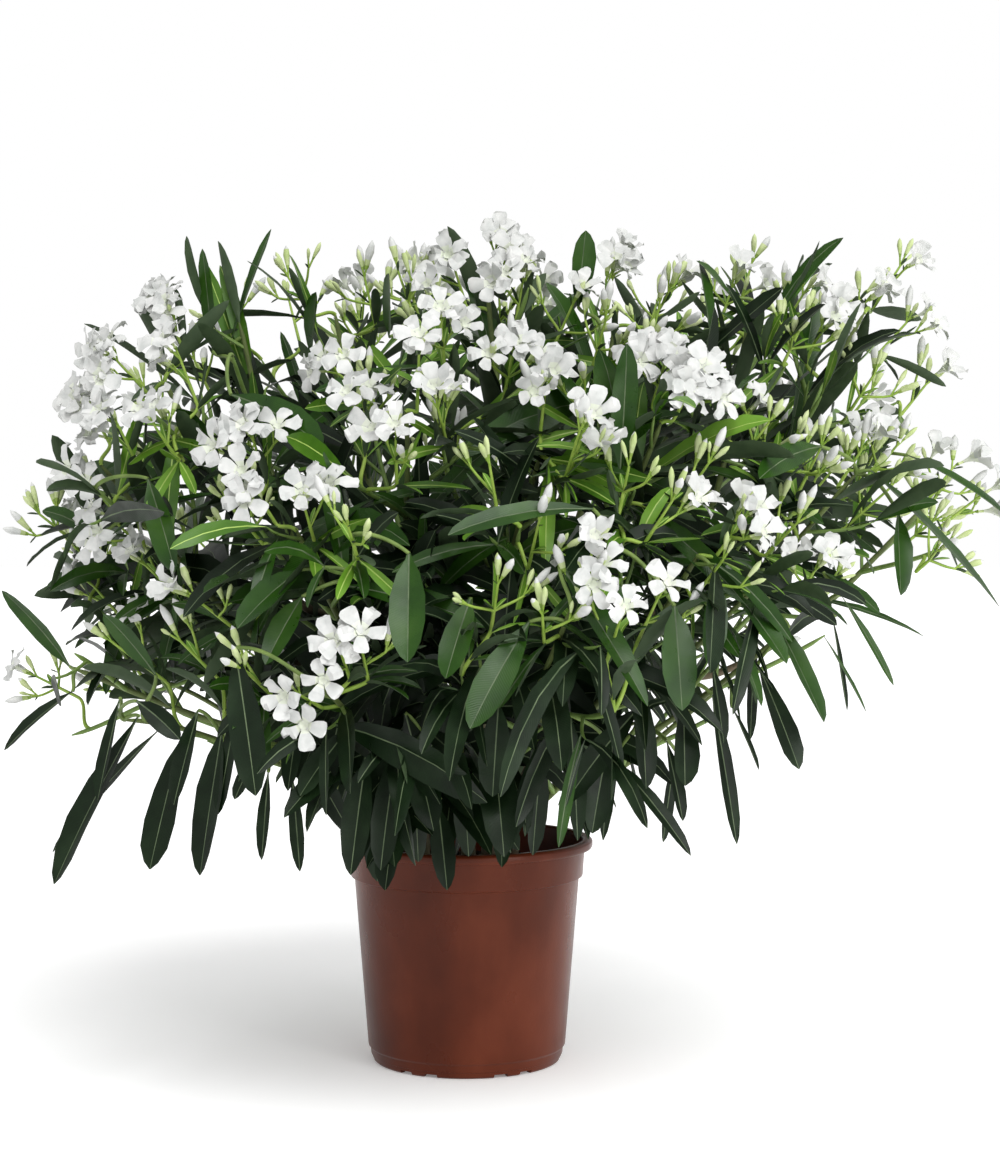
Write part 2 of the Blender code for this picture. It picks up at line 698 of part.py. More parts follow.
def fused(name, first, others, material):
    """Joins the leader and its collection of twigs, leaves and blossoms into one solid."""
    body = add_object(name, first, material)
    group = bpy.data.collections.new(name + "_pieces")
    bpy.context.scene.collection.children.link(group)
    for i, shape in enumerate(others):
        mesh = bpy.data.meshes.new(f"{name}_{i}")
        shape.to_mesh(mesh)
        shape.free()
        group.objects.link(bpy.data.objects.new(f"{name}_{i}", mesh))
    union = body.modifiers.new("fuse", "BOOLEAN")
    union.operation = "UNION"
    union.operand_type = "COLLECTION"
    union.collection = group
    union.solver = "EXACT"
    graph = bpy.context.evaluated_depsgraph_get()
    joined = bpy.data.meshes.new_from_object(body.evaluated_get(graph))
    body.modifiers.clear()
    body.data = joined
    keep_one_shell(joined)
    for piece in list(group.objects):
        bpy.data.objects.remove(piece)
    bpy.data.collections.remove(group)
    return body


def make_masses(crown, leaders, twigs, draws, material):
    """Every mass: first all blossoms, then all whorls of leaves, then each mass is fused."""
    pieces = {}
    for shoot in SHOOTS:
        name, buds, draw = shoot.name, BUDS_AT_TIP[shoot.flower], draws[shoot.name]
        counts = [FLOWERS_AT_LEADER[shoot.flower]]
        counts += [FLOWERS_AT_TWIG[shoot.flower]] * len(twigs[name])
        pieces[name] = [tube(twig, TWIG_SIDES) for twig in twigs[name]]
        for route, flowers in zip([leaders[name]] + twigs[name], counts):
            pieces[name] += place_blooms(crown, shoot, route, flowers, buds, draw)
    for shoot in SHOOTS:
        for route in [leaders[shoot.name]] + twigs[shoot.name]:
            pieces[shoot.name] += place_whorls(crown, shoot, route, draws[shoot.name])
    for shoot in SHOOTS:
        leader = tube(leaders[shoot.name], TWIG_SIDES)
        fused("foliage_" + shoot.name, leader, pieces[shoot.name], material)


# ------------------------------------------------------------------------------ build


def main():
    for old in list(bpy.data.objects):
        bpy.data.objects.remove(old)
    plastic = finish("pot_plastic", (0.24, 0.075, 0.045), 0.42)
    earth = finish("soil", (0.030, 0.022, 0.016), 0.95)
    bark = finish("bark", (0.20, 0.17, 0.11), 0.75)
    foliage = finish("foliage", (0.035, 0.085, 0.030), 0.45)
    make_pot(plastic)
    make_soil(earth)

    crown = Crown()
    crown.record_shape("pot", turned(pot_profile(swell=GUARD), POT_SIDES))
    stems = {stem.name: stem_route(stem) for stem in STEMS}
    for name, route in stems.items():
        add_object(name, tube(route, STEM_SIDES), bark)
        crown.record_shape(name, tube(route, STEM_SIDES, swell=GUARD))

    leaders, twigs, draws = {}, {}, {}
    for shoot in SHOOTS:
        parent, share = stems[shoot.stem], shoot.seat
        if shoot.bough:
            parent, share = bough_route(shoot, parent), 1.0
            add_object("bough_" + shoot.name, tube(parent, BOUGH_SIDES), bark)
            crown.record_shape("bough_" + shoot.name, tube(parent, BOUGH_SIDES, swell=GUARD))
        leaders[shoot.name] = leader_route(shoot, parent, share)
    for shoot in SHOOTS:
        shape = tube(leaders[shoot.name], TWIG_SIDES, swell=GUARD)
        crown.record_shape(shoot.name, shape)
    for number, shoot in enumerate(SHOOTS):
        draws[shoot.name] = random.Random(number)
        leader, draw = leaders[shoot.name], draws[shoot.name]
        twigs[shoot.name] = clear_twigs(crown, shoot, leader, draw)
    crown.share_out({name: [leaders[name]] + twigs[name] for name in leaders})
    make_masses(crown, leaders, twigs, draws, foliage)


main()
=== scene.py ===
# %% [markdown]
# # A white oleander in a nursery pot
# The plant is a patio shrub, about 0.83 m high with its pot and nearly 1 m wide. Seven woody
# stems rise from one root, divide into boughs, and end in leafy shoots that carry clusters of
# white flowers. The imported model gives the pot, the soil, the stems, the boughs and one coarse
# solid for each mass of foliage. This file dresses that model: it grows every mass again by the
# same rule, carried on to finer twigs, and gives each surface its finish.

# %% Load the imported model
import math
import random
from collections import namedtuple

import bmesh
import bpy
import numpy as np
from mathutils import Matrix, Vector, noise


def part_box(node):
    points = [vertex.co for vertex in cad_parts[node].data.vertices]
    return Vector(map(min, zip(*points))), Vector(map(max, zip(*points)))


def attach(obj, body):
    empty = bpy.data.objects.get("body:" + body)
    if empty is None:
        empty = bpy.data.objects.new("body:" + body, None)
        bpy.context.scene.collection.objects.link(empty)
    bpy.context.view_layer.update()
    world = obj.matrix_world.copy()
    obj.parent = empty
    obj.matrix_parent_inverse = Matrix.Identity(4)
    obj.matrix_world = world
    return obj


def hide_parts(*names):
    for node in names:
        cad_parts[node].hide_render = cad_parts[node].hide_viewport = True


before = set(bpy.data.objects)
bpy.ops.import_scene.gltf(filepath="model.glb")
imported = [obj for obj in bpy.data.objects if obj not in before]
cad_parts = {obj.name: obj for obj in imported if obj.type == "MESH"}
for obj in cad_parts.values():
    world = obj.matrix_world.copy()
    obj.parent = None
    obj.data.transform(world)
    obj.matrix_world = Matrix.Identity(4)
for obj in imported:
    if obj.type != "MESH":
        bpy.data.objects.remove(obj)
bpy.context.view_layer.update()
UP = Vector((0.0, 0.0, 1.0))
HEART = Vector((0.020, 0.0, 0.300))

# %% [markdown]
# ## The camera
# A plant portrait is taken from a few metres away with a long lens, so that the near leaves
# aren't swollen. The camera stands a little above the middle of the crown and looks down by
# about two degrees. Aiming at a point is easier to read than three angles, and `to_track_quat`
# turns that aim into a rotation.

# %% Camera
CAMERA_STAND = Vector((0.033, -2.377, 0.560))
CAMERA_AIM = Vector((0.033, 0.0, 0.472))
LENS_MM = 74.0
SENSOR_MM = 36.0


def add_camera():
    """A camera whose sensor is fitted to the picture's height."""
    camera = bpy.data.objects.new("camera", bpy.data.cameras.new("camera"))
    bpy.context.scene.collection.objects.link(camera)
    camera.location = CAMERA_STAND
    camera.rotation_euler = (CAMERA_AIM - CAMERA_STAND).to_track_quat("-Z", "Y").to_euler()
    camera.data.lens = LENS_MM
    camera.data.sensor_fit = "VERTICAL"
    camera.data.sensor_height = SENSOR_MM
    bpy.context.scene.camera = camera
    return camera


add_camera()
print("camera", round((CAMERA_AIM - CAMERA_STAND).length, 2), "m from the plant")

# %% [markdown]
# ## Finishes
# Nearly every surface here needs the same three things: a colour that wanders a little, a gloss
# that wanders with it, and a fine relief. The helpers below build those from noise on Object
# coordinates, so a pattern keeps its real size on every piece. A value that is the same all
# over is set on the shader's own socket, where an export can read it.

# %% Helpers for finishes
def principled(name, colour, roughness, specular=0.5):
    """A new material, with its Principled shader's constants set on their own sockets."""
    material = bpy.data.materials.new(name)
    material.use_nodes = True
    shader = material.node_tree.nodes["Principled BSDF"]
    shader.inputs["Base Color"].default_value = (*colour, 1.0)
    shader.inputs["Roughness"].default_value = roughness
    shader.inputs["Specular IOR Level"].default_value = specular
    material.diffuse_color = (*colour, 1.0)
    return material


def speckle(material, scale, stretch=(1.0, 1.0, 1.0), detail=3.0):
    """Noise on Object coordinates, as an even grey from 0 to 1. Scale counts features a metre."""
    tree = material.node_tree
    place = tree.nodes.new("ShaderNodeTexCoord")
    mapping = tree.nodes.new("ShaderNodeMapping")
    mapping.inputs["Scale"].default_value = stretch
    grain = tree.nodes.new("ShaderNodeTexNoise")
    grain.inputs["Scale"].default_value = scale
    grain.inputs["Detail"].default_value = detail
    tree.links.new(place.outputs["Object"], mapping.inputs["Vector"])
    tree.links.new(mapping.outputs["Vector"], grain.inputs["Vector"])
    return grain.outputs["Fac"]


def spread(material, source, socket, stops):
    """Feeds a shader socket from a grey source through a ramp of (place, colour or value)."""
    tree = material.node_tree
    ramp = tree.nodes.new("ShaderNodeValToRGB")
    while len(ramp.color_ramp.elements) < len(stops):
        ramp.color_ramp.elements.new(1.0)
    for element, (place, value) in zip(ramp.color_ramp.elements, stops):
        element.position = place
        element.color = (*value, 1.0) if isinstance(value, tuple) else (value, value, value, 1.0)
    tree.links.new(source, ramp.inputs["Fac"])
    tree.links.new(ramp.outputs["Color"], tree.nodes["Principled BSDF"].inputs[socket])
    return ramp


def relief(material, source, depth, strength=1.0):
    """Bumps the surface by a grey source, depth metres from black to white."""
    tree = material.node_tree
    bump = tree.nodes.new("ShaderNodeBump")
    bump.inputs["Strength"].default_value = strength
    bump.inputs["Distance"].default_value = depth
    tree.links.new(source, bump.inputs["Height"])
    tree.links.new(bump.outputs["Normal"], tree.nodes["Principled BSDF"].inputs["Normal"])
    return bump


# %% [markdown]
# ## The studio
# A pale floor under an even white sky gives the soft light of a product studio. A broad sun at
# the upper right is the key, so leaves and petals get a light side and a shadow side. A sky as
# bright as it looks would fill every shadow, so what the plant is lit by is set to seven tenths
# of what is seen behind it. A tall weak softbox at the right draws an upright sheen on the pot.
# The floor has a faint painted glow of its own, which lightens the plant's shadow on it, so that
# it meets the sky without an edge. The Standard view keeps the whites of the petals clean, where a
# filmic view would grey them.

# %% Floor and light
FLOOR_HALF = 16.0
FLOOR_GLOW = 0.18
FLOOR_DROP = 0.0004
SKY_SEEN = 1.0
SKY_LIGHT = 0.70
KEY_PLACE = Vector((0.85, -2.10, 2.80))
KEY_STRENGTH = 2.2
KEY_SOFTNESS = math.radians(40)
SOFTBOX_PLACE = Vector((1.35, -1.70, 0.45))
SOFTBOX_AIM = Vector((0.0, 0.0, 0.20))
SOFTBOX_SIZE = (0.45, 1.30)
SOFTBOX_POWER = 11.0


def lay_floor():
    """A wide pale sheet just under the pot's foot."""
    bm = bmesh.new()
    bmesh.ops.create_grid(
        bm, x_segments=2, y_segments=2, size=FLOOR_HALF,
        matrix=Matrix.Translation((0.0, 0.0, -FLOOR_DROP)),
    )
    mesh = bpy.data.meshes.new("floor")
    bm.to_mesh(mesh)
    bm.free()
    floor = bpy.data.objects.new("floor", mesh)
    bpy.context.scene.collection.objects.link(floor)
    paper = principled("floor_paper", (0.97, 0.97, 0.97), 0.9, specular=0.1)
    spread(paper, speckle(paper, 3.0), "Base Color",
           ((0.3, (0.96, 0.96, 0.96)), (0.7, (0.98, 0.98, 0.98))))
    # A faint painted glow: the floor gives off light of its own, which lightens the plant's shadow on
    # it.
    glow = paper.node_tree.nodes["Principled BSDF"].inputs
    glow["Emission Color"].default_value = (1.0, 1.0, 1.0, 1.0)
    glow["Emission Strength"].default_value = FLOOR_GLOW
    mesh.materials.append(paper)
    return floor


def white_sky():
    """A white world that is seen at one strength and lights the plant at a lower one."""
    world = bpy.data.worlds.new("studio_sky")
    world.use_nodes = True
    tree = world.node_tree
    sky = tree.nodes["Background"]
    sky.inputs["Color"].default_value = (1.0, 1.0, 1.0, 1.0)
    ray = tree.nodes.new("ShaderNodeLightPath")
    strength = tree.nodes.new("ShaderNodeMapRange")
    strength.inputs["To Min"].default_value = SKY_LIGHT
    strength.inputs["To Max"].default_value = SKY_SEEN
    tree.links.new(ray.outputs["Is Camera Ray"], strength.inputs["Value"])
    tree.links.new(strength.outputs["Result"], sky.inputs["Strength"])
    bpy.context.scene.world = world


def add_light(name, kind, place, aim, power):
    """A light that stands at one place and shines at another."""
    data = bpy.data.lights.new(name, kind)
    data.energy = power
    light = bpy.data.objects.new(name, data)
    bpy.context.scene.collection.objects.link(light)
    light.location = place
    light.rotation_euler = (aim - place).to_track_quat("-Z", "Y").to_euler()
    return data


lay_floor()
white_sky()
key = add_light("key", "SUN", KEY_PLACE, HEART, KEY_STRENGTH)
key.angle = KEY_SOFTNESS
softbox = add_light("softbox", "AREA", SOFTBOX_PLACE, SOFTBOX_AIM, SOFTBOX_POWER)
softbox.shape = "RECTANGLE"
softbox.size, softbox.size_y = SOFTBOX_SIZE
bpy.context.scene.view_settings.view_transform = "Standard"
print("sky", SKY_LIGHT, "key", KEY_STRENGTH, "softbox", SOFTBOX_POWER)

# %% [markdown]
# ## Making pieces
# Each piece is one object that sits at the origin with its place in its mesh, rides on the
# plant's one body, takes its materials, and hides the imported nodes that it replaces. One
# function does all of that, so that no piece forgets a step.

# %% Helper that places a piece
def place_piece(mesh, materials, nodes=(), sharp_angle=40.0):
    """Links a finished mesh as a piece that replaces nodes, smooth up to an angle."""
    piece = bpy.data.objects.new(mesh.name, mesh)
    bpy.context.scene.collection.objects.link(piece)
    for material in materials:
        mesh.materials.append(material)
    mesh.shade_smooth()
    mesh.set_sharp_from_angle(angle=math.radians(sharp_angle))
    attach(piece, "root")
    if nodes:
        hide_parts(*nodes)
    triangles = sum(len(face.vertices) - 2 for face in mesh.polygons)
    print(f"{mesh.name}: {triangles} triangles")
    return piece


def mesh_from(bm, name):
    """Ends a bmesh: its normals are turned outwards and it becomes a named mesh."""
    bmesh.ops.recalc_face_normals(bm, faces=bm.faces)
    mesh = bpy.data.meshes.new(name)
    bm.to_mesh(mesh)
    bm.free()
    return mesh


# %% [markdown]
# ## The pot
# A moulded nursery pot is a thin plastic bucket: a rolled lip, a stiff band under it, a body that
# narrows to a stepped foot, and pairs of drainage notches round the foot. Its wall is a section
# turned about the upright axis, so the section is drawn first, from a few named radii.

# %% Pot: the section
POT_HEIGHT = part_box("pot")[1][2]
LIP_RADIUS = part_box("pot")[1][0]
POT_WALL = 0.0022
LIP_DEPTH = 0.0095
LIP_EDGE = 0.0022
BAND_TOP_RADIUS = 0.1172
BAND_FOOT_RADIUS = 0.1152
BAND_FOOT_HEIGHT = 0.1835
BODY_TOP_RADIUS = 0.1115
BODY_FOOT_RADIUS = 0.0980
FOOT_HEIGHT = 0.0130
FOOT_TOP_RADIUS = 0.0958
FOOT_RADIUS = 0.0935
FLOOR_THICKNESS = 0.0060
UNDERSIDE_RISE = 0.0030
FOOT_RING = 0.0070


def wall_radius(height):
    """The inner radius of the pot's body at a height."""
    share = (height - FOOT_HEIGHT) / (BAND_FOOT_HEIGHT - FOOT_HEIGHT)
    return BODY_FOOT_RADIUS + share * (BODY_TOP_RADIUS - BODY_FOOT_RADIUS) - POT_WALL


def pot_section():
    """From the axis under the floor, up the outside, over the lip and down the inside."""
    lip_foot = POT_HEIGHT - LIP_DEPTH
    outside = [
        (0.0, UNDERSIDE_RISE),
        (FOOT_RADIUS - FOOT_RING - 0.002, UNDERSIDE_RISE),
        (FOOT_RADIUS - FOOT_RING, 0.0),
        (FOOT_RADIUS - 0.0015, 0.0),
        (FOOT_RADIUS, 0.0018),
        (FOOT_TOP_RADIUS, FOOT_HEIGHT),
        (BODY_FOOT_RADIUS, FOOT_HEIGHT + LIP_EDGE),
        (BODY_TOP_RADIUS, BAND_FOOT_HEIGHT - LIP_EDGE / 2),
        (BAND_FOOT_RADIUS, BAND_FOOT_HEIGHT),
        (BAND_TOP_RADIUS, lip_foot),
        (LIP_RADIUS - LIP_EDGE / 2, lip_foot + LIP_EDGE / 4),
        (LIP_RADIUS, lip_foot + LIP_EDGE * 1.2),
        (LIP_RADIUS, POT_HEIGHT - LIP_EDGE),
        (LIP_RADIUS - LIP_EDGE, POT_HEIGHT),
    ]
    inside = [
        (BAND_TOP_RADIUS - POT_WALL + LIP_EDGE / 2, POT_HEIGHT),
        (BAND_TOP_RADIUS - POT_WALL, POT_HEIGHT - LIP_EDGE),
        (BAND_FOOT_RADIUS - POT_WALL, BAND_FOOT_HEIGHT + LIP_EDGE),
        (wall_radius(BAND_FOOT_HEIGHT), BAND_FOOT_HEIGHT - LIP_EDGE),
        (wall_radius(FLOOR_THICKNESS), FLOOR_THICKNESS),
        (0.0, FLOOR_THICKNESS),
    ]
    return outside + inside


print("pot section:", len(pot_section()), "points")

# %% [markdown]
# The section is spun once round. A bevel then gives every moulded corner its small radius, which
# is what catches the light on real plastic.

# %% Pot: spin and bevel
POT_SIDES = 112
POT_BEVEL = 0.0007
MOULDED_CORNER = math.radians(12)


def turned(profile, sides):
    """Spins a section of (radius, height) points once round Z."""
    bm = bmesh.new()
    verts = [bm.verts.new((radius, 0.0, height)) for radius, height in profile]
    edges = [bm.edges.new(pair) for pair in zip(verts, verts[1:])]
    bmesh.ops.spin(
        bm, geom=verts + edges, cent=(0, 0, 0), axis=(0, 0, 1),
        angle=math.tau, steps=sides, use_merge=True,
    )
    bmesh.ops.remove_doubles(bm, verts=bm.verts, dist=1e-5)
    bmesh.ops.dissolve_degenerate(bm, edges=bm.edges, dist=1e-6)
    return bm


def is_moulded_corner(edge):
    """True on the rings where two turned faces meet at a clear angle."""
    level = abs(edge.verts[0].co.z - edge.verts[1].co.z) < 1e-6
    return level and len(edge.link_faces) == 2 and edge.calc_face_angle(0.0) > MOULDED_CORNER


def pot_wall():
    bm = turned(pot_section(), POT_SIDES)
    bmesh.ops.recalc_face_normals(bm, faces=bm.faces)
    corners = [edge for edge in bm.edges if is_moulded_corner(edge)]
    bmesh.ops.bevel(
        bm, geom=corners, offset=POT_BEVEL, offset_type="OFFSET", affect="EDGES",
        segments=2, profile=0.5, material=-1, clamp_overlap=True,
    )
    return mesh_from(bm, "pot_wall")


# %% [markdown]
# The notches are cut with a Boolean. A cutter made of one block for each notch is quick to
# build in a loop, and the cut is read back as a plain mesh, so no helper object stays behind.

# %% Pot: drainage notches
NOTCH_PAIRS = 6
NOTCH_HALF_SPACING = math.radians(8.5)
NOTCH_SIZE = Vector((0.026, 0.014, 0.0064))


def notch_blocks():
    """Pairs of blocks round the foot's lower edge."""
    bm = bmesh.new()
    for pair in range(NOTCH_PAIRS):
        for side in (-1, 1):
            turn = math.tau * pair / NOTCH_PAIRS + side * NOTCH_HALF_SPACING
            place = Matrix.Rotation(turn, 4, "Z") @ Matrix.Translation((FOOT_RADIUS, 0.0, 0.0))
            bmesh.ops.create_cube(bm, size=1.0, matrix=place @ Matrix.Diagonal((*NOTCH_SIZE, 1.0)))
    return mesh_from(bm, "notch_blocks")


def cut(mesh, cutter_mesh, name):
    """The first mesh less the second, as a new mesh."""
    body = bpy.data.objects.new("uncut", mesh)
    cutter = bpy.data.objects.new("cutter", cutter_mesh)
    for helper in (body, cutter):
        bpy.context.scene.collection.objects.link(helper)
    boolean = body.modifiers.new("cut", "BOOLEAN")
    boolean.operation = "DIFFERENCE"
    boolean.solver = "EXACT"
    boolean.object = cutter
    shape = body.evaluated_get(bpy.context.evaluated_depsgraph_get())
    result = bpy.data.meshes.new_from_object(shape)
    result.name = name
    for helper in (body, cutter):
        bpy.data.objects.remove(helper)
    return result


# %% [markdown]
# Brown nursery plastic is satin, a little cloudy, and dusty from the potting bench. Upright
# streaks come from noise that is squeezed across and stretched along the height, and a second,
# larger noise makes the dull patches in its gloss.

# %% Pot: satin brown plastic
def pot_plastic():
    plastic = principled("pot_plastic_brown", (0.095, 0.0180, 0.0060), 0.32, specular=0.16)
    clouds = speckle(plastic, 9.0, stretch=(1.0, 1.0, 0.6), detail=5.0)
    spread(plastic, clouds, "Base Color", (
        (0.28, (0.048, 0.0090, 0.0034)),
        (0.50, (0.088, 0.0168, 0.0058)),
        (0.74, (0.150, 0.0330, 0.0135)),
    ))
    scuffs = speckle(plastic, 26.0, stretch=(1.0, 1.0, 0.6), detail=6.0)
    spread(plastic, scuffs, "Roughness", ((0.3, 0.24), (0.7, 0.40)))
    grain = speckle(plastic, 420.0, detail=2.0)
    relief(plastic, grain, 0.00012, strength=0.5)
    return plastic


pot_mesh = cut(pot_wall(), notch_blocks(), "pot_moulded")
place_piece(pot_mesh, [pot_plastic()], nodes=("pot",))

# %% [markdown]
# ## The growth plan
# An oleander has no trunk. Its stems start side by side, lean out, and divide, and each shoot
# ends in whorls of three leaves. The plan names every stem and shoot once, by bearings and real
# sizes: compass is degrees from the front towards the right, lift is degrees above level, and
# reach is metres from a heart point inside the crown.

# %% Growth plan
SOIL_TOP = 0.190
GAP = 0.0003
STEM_RING = 0.044

Stem = namedtuple("Stem", "name compass ring tip_compass tip_lift tip_reach")
STEMS = {row[0]: Stem(*row) for row in (
    ("stem_centre", 20, 0.004, 30, 80, 0.215),
    ("stem_front_left", -35, STEM_RING, -28, 42, 0.185),
    ("stem_front_right", 30, STEM_RING, 32, 40, 0.200),
    ("stem_right", 88, STEM_RING, 84, 44, 0.270),
    ("stem_back_right", 150, STEM_RING, 140, 48, 0.190),
    ("stem_back_left", -148, STEM_RING, -142, 50, 0.190),
    ("stem_left", -92, STEM_RING, -80, 46, 0.250),
)}

Shoot = namedtuple("Shoot", "name stem seat bough compass lift reach forks roll flower droop")
SHOOTS = [Shoot(*row) for row in (
    ("top", "stem_centre", 1.0, False, 0, 85, 0.500, 3, 60, "full", 0.10),
    ("top_right", "stem_centre", 0.80, True, 78, 74, 0.500, 2, 80, "full", 0.10),
    ("top_left", "stem_centre", 0.66, True, -104, 71, 0.510, 2, 80, "buds", 0.10),
    ("front_left_high", "stem_front_left", 1.0, False, -18, 56, 0.430, 3, 20, "full", 0.20),
    ("front_left_mid", "stem_front_left", 0.78, True, -32, 38, 0.445, 2, 75, "full", 0.30),
    ("front_high", "stem_front_right", 0.86, False, 12, 51, 0.430, 3, 30, "some", 0.20),
    ("front_right_high", "stem_front_right", 1.0, False, 34, 50, 0.470, 3, 10, "full", 0.25),
    ("front_right_mid", "stem_front_right", 0.66, True, 33, 33, 0.455, 2, 80, "some", 0.35),
    ("left_leafy", "stem_left", 1.0, False, -74, 61, 0.540, 2, 50, "none", 0.10),
    ("left_upper", "stem_left", 0.90, True, -71, 50, 0.545, 2, 60, "full", 0.20),
    ("left_high", "stem_left", 0.80, True, -78, 38, 0.500, 3, 20, "full", 0.35),
    ("left_low", "stem_left", 0.52, True, -80, 14, 0.470, 3, 40, "buds", 0.55),
    ("left_back", "stem_left", 0.66, False, -102, 26, 0.450, 3, 60, "some", 0.45),
    ("right_top", "stem_right", 1.0, False, 80, 60, 0.545, 3, 45, "some", 0.10),
    ("right_corner", "stem_right", 0.88, True, 84, 50, 0.580, 3, 85, "full", 0.15),
    ("right_side", "stem_right", 0.74, True, 88, 31, 0.540, 3, 10, "some", 0.35),
    ("right_front", "stem_right", 0.60, False, 66, 37, 0.480, 3, 60, "buds", 0.30),
    ("right_front_low", "stem_right", 0.46, False, 54, 24, 0.440, 2, 80, "some", 0.50),
    ("front_low", "stem_front_right", 0.50, False, 11, 24, 0.450, 3, 90, "full", 0.50),
    ("front_left_low", "stem_front_left", 0.56, False, -22, 15, 0.405, 2, 70, "full", 0.65),
    ("inner_front", "stem_centre", 0.46, False, -8, 45, 0.310, 3, 30, "none", 0.30),
    ("inner_right", "stem_centre", 0.60, False, 74, 42, 0.290, 3, 60, "none", 0.30),
    ("inner_left", "stem_centre", 0.40, False, -90, 48, 0.270, 3, 0, "none", 0.30),
    ("inner_back", "stem_centre", 0.50, False, 176, 38, 0.270, 3, 30, "none", 0.30),
    ("skirt_far_left", "stem_left", 0.38, False, -62, 8, 0.390, 2, 80, "none", 0.90),
    ("skirt_left", "stem_front_left", 0.40, False, -36, 7, 0.330, 2, 80, "none", 0.95),
    ("skirt_centre", "stem_front_left", 0.30, False, -5, 10, 0.270, 2, 80, "none", 0.90),
    ("skirt_right", "stem_front_right", 0.32, False, 32, 12, 0.270, 2, 80, "none", 0.90),
    ("skirt_far_right", "stem_right", 0.34, False, 66, 20, 0.330, 2, 80, "none", 0.80),
    ("back_right_high", "stem_back_right", 1.0, False, 122, 56, 0.480, 3, 30, "some", 0.15),
    ("back_high", "stem_back_right", 0.84, True, 168, 52, 0.455, 2, 80, "full", 0.20),
    ("back_right_mid", "stem_back_right", 0.62, False, 122, 26, 0.480, 2, 70, "full", 0.45),
    ("back_mid", "stem_back_right", 0.46, False, 162, 20, 0.440, 2, 80, "some", 0.55),
    ("back_left_high", "stem_back_left", 1.0, False, -132, 54, 0.480, 3, 50, "full", 0.15),
    ("back_left_mid", "stem_back_left", 0.66, False, -130, 28, 0.450, 3, 60, "some", 0.45),
    ("back_centre_low", "stem_back_left", 0.48, False, -165, 14, 0.410, 2, 80, "full", 0.60),
    ("skirt_back_right", "stem_back_right", 0.34, False, 106, 17, 0.330, 2, 80, "none", 0.85),
    ("skirt_back", "stem_back_right", 0.22, False, 156, 8, 0.310, 2, 80, "none", 0.95),
    ("skirt_back_left", "stem_back_left", 0.30, False, -146, 8, 0.340, 2, 80, "none", 0.95),
    ("skirt_left_back", "stem_left", 0.28, False, -106, 11, 0.390, 2, 80, "none", 0.90),
)]
print("stems:", len(STEMS), "shoots:", len(SHOOTS))

# %% [markdown]
# ## Limb routes
# Every limb, from a stem to the stalk of one flower, follows a cubic curve that leaves its
# parent in one direction and arrives at its tip in another. That is how a shoot grows: out of
# its bud at an angle, then round towards the light. A route keeps the curve's points, its
# direction at each of them and its taper.

# %% Routes
CURVE_GRIP = 0.36


class Route:
    """A limb's centre line: points, the direction at each point, and the radius at each."""

    def __init__(self, points, radii):
        self.points = points
        self.radii = radii
        last = len(points) - 1
        self.ways = [
            (points[min(i + 1, last)] - points[max(i - 1, 0)]).normalized()
            for i in range(last + 1)
        ]

    def at(self, share):
        """(point, direction, radius) at a share of the route."""
        place = min(max(share, 0.0), 1.0) * (len(self.points) - 1)
        i = min(int(place), len(self.points) - 2)
        t = place - i
        return (
            self.points[i].lerp(self.points[i + 1], t),
            self.ways[i].lerp(self.ways[i + 1], t).normalized(),
            self.radii[i] * (1 - t) + self.radii[i + 1] * t,
        )

    def length(self):
        return sum((b - a).length for a, b in zip(self.points, self.points[1:]))


def curved(start, start_way, end, end_way, steps):
    """Points along a cubic curve that leaves and arrives in the given directions."""
    reach = (end - start).length * CURVE_GRIP
    a, b = start + start_way * reach, end - end_way * reach
    points = []
    for i in range(steps + 1):
        t = i / steps
        s = 1 - t
        points.append(start * s**3 + a * 3 * s * s * t + b * 3 * s * t * t + end * t**3)
    return points


def taper(foot, tip, steps):
    return [foot + (tip - foot) * i / steps for i in range(steps + 1)]


def towards(compass, lift):
    """The unit direction at a compass bearing and a lift, both in degrees."""
    a, e = math.radians(compass), math.radians(lift)
    return Vector((math.sin(a) * math.cos(e), -math.cos(a) * math.cos(e), math.sin(e)))


def across(way, hint):
    """The part of hint square to way, as a unit direction."""
    side = hint - way * hint.dot(way)
    if side.length < 1e-4:
        side = way.orthogonal()
    return side.normalized()


def turned_side(way, degrees):
    """The direction square to way that lies degrees round it from its upper side."""
    return Matrix.Rotation(math.radians(degrees), 3, way) @ across(way, UP)


# %% [markdown]
# The stems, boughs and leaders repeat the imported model's own routes, with more points on the
# same curves. A limb that continues another starts at its tip. Any other limb starts square to
# its parent's side, facing the place that it grows to.

# %% Stems, boughs and leaders
STEM_STEPS = 30
BOUGH_STEPS = 20
LEADER_STEPS = 20
FLARE_HEIGHT = 0.016
FLARE_SHARES = (0.0, 0.3, 0.65)
FLARE_RADII = (0.0118, 0.0092, 0.0078)
PACKED_SPANS = 7
STEM_RADII = (0.0072, 0.0048)
BOUGH_RADII = (0.0044, 0.0034)
LEADER_RADII = (0.0036, 0.0021)
LEAFY_LENGTH = 0.280
TIP_RISE, TIP_DROOP = 0.45, 0.62


def stem_route(stem):
    """A stem from its flared foot on the soil to its tip inside the crown."""
    foot = towards(stem.compass, 0) * stem.ring + UP * (SOIL_TOP + GAP)
    tip = HEART + towards(stem.tip_compass, stem.tip_lift) * stem.tip_reach
    out = (towards(stem.tip_compass, stem.tip_lift) + UP * 0.5).normalized()
    flare = foot + UP * FLARE_HEIGHT
    rise = [foot.lerp(flare, share) for share in FLARE_SHARES]
    route = Route(
        rise + curved(flare, UP, tip, out, STEM_STEPS),
        list(FLARE_RADII) + taper(*STEM_RADII, STEM_STEPS),
    )
    route.ways[0] = UP.copy()
    return route


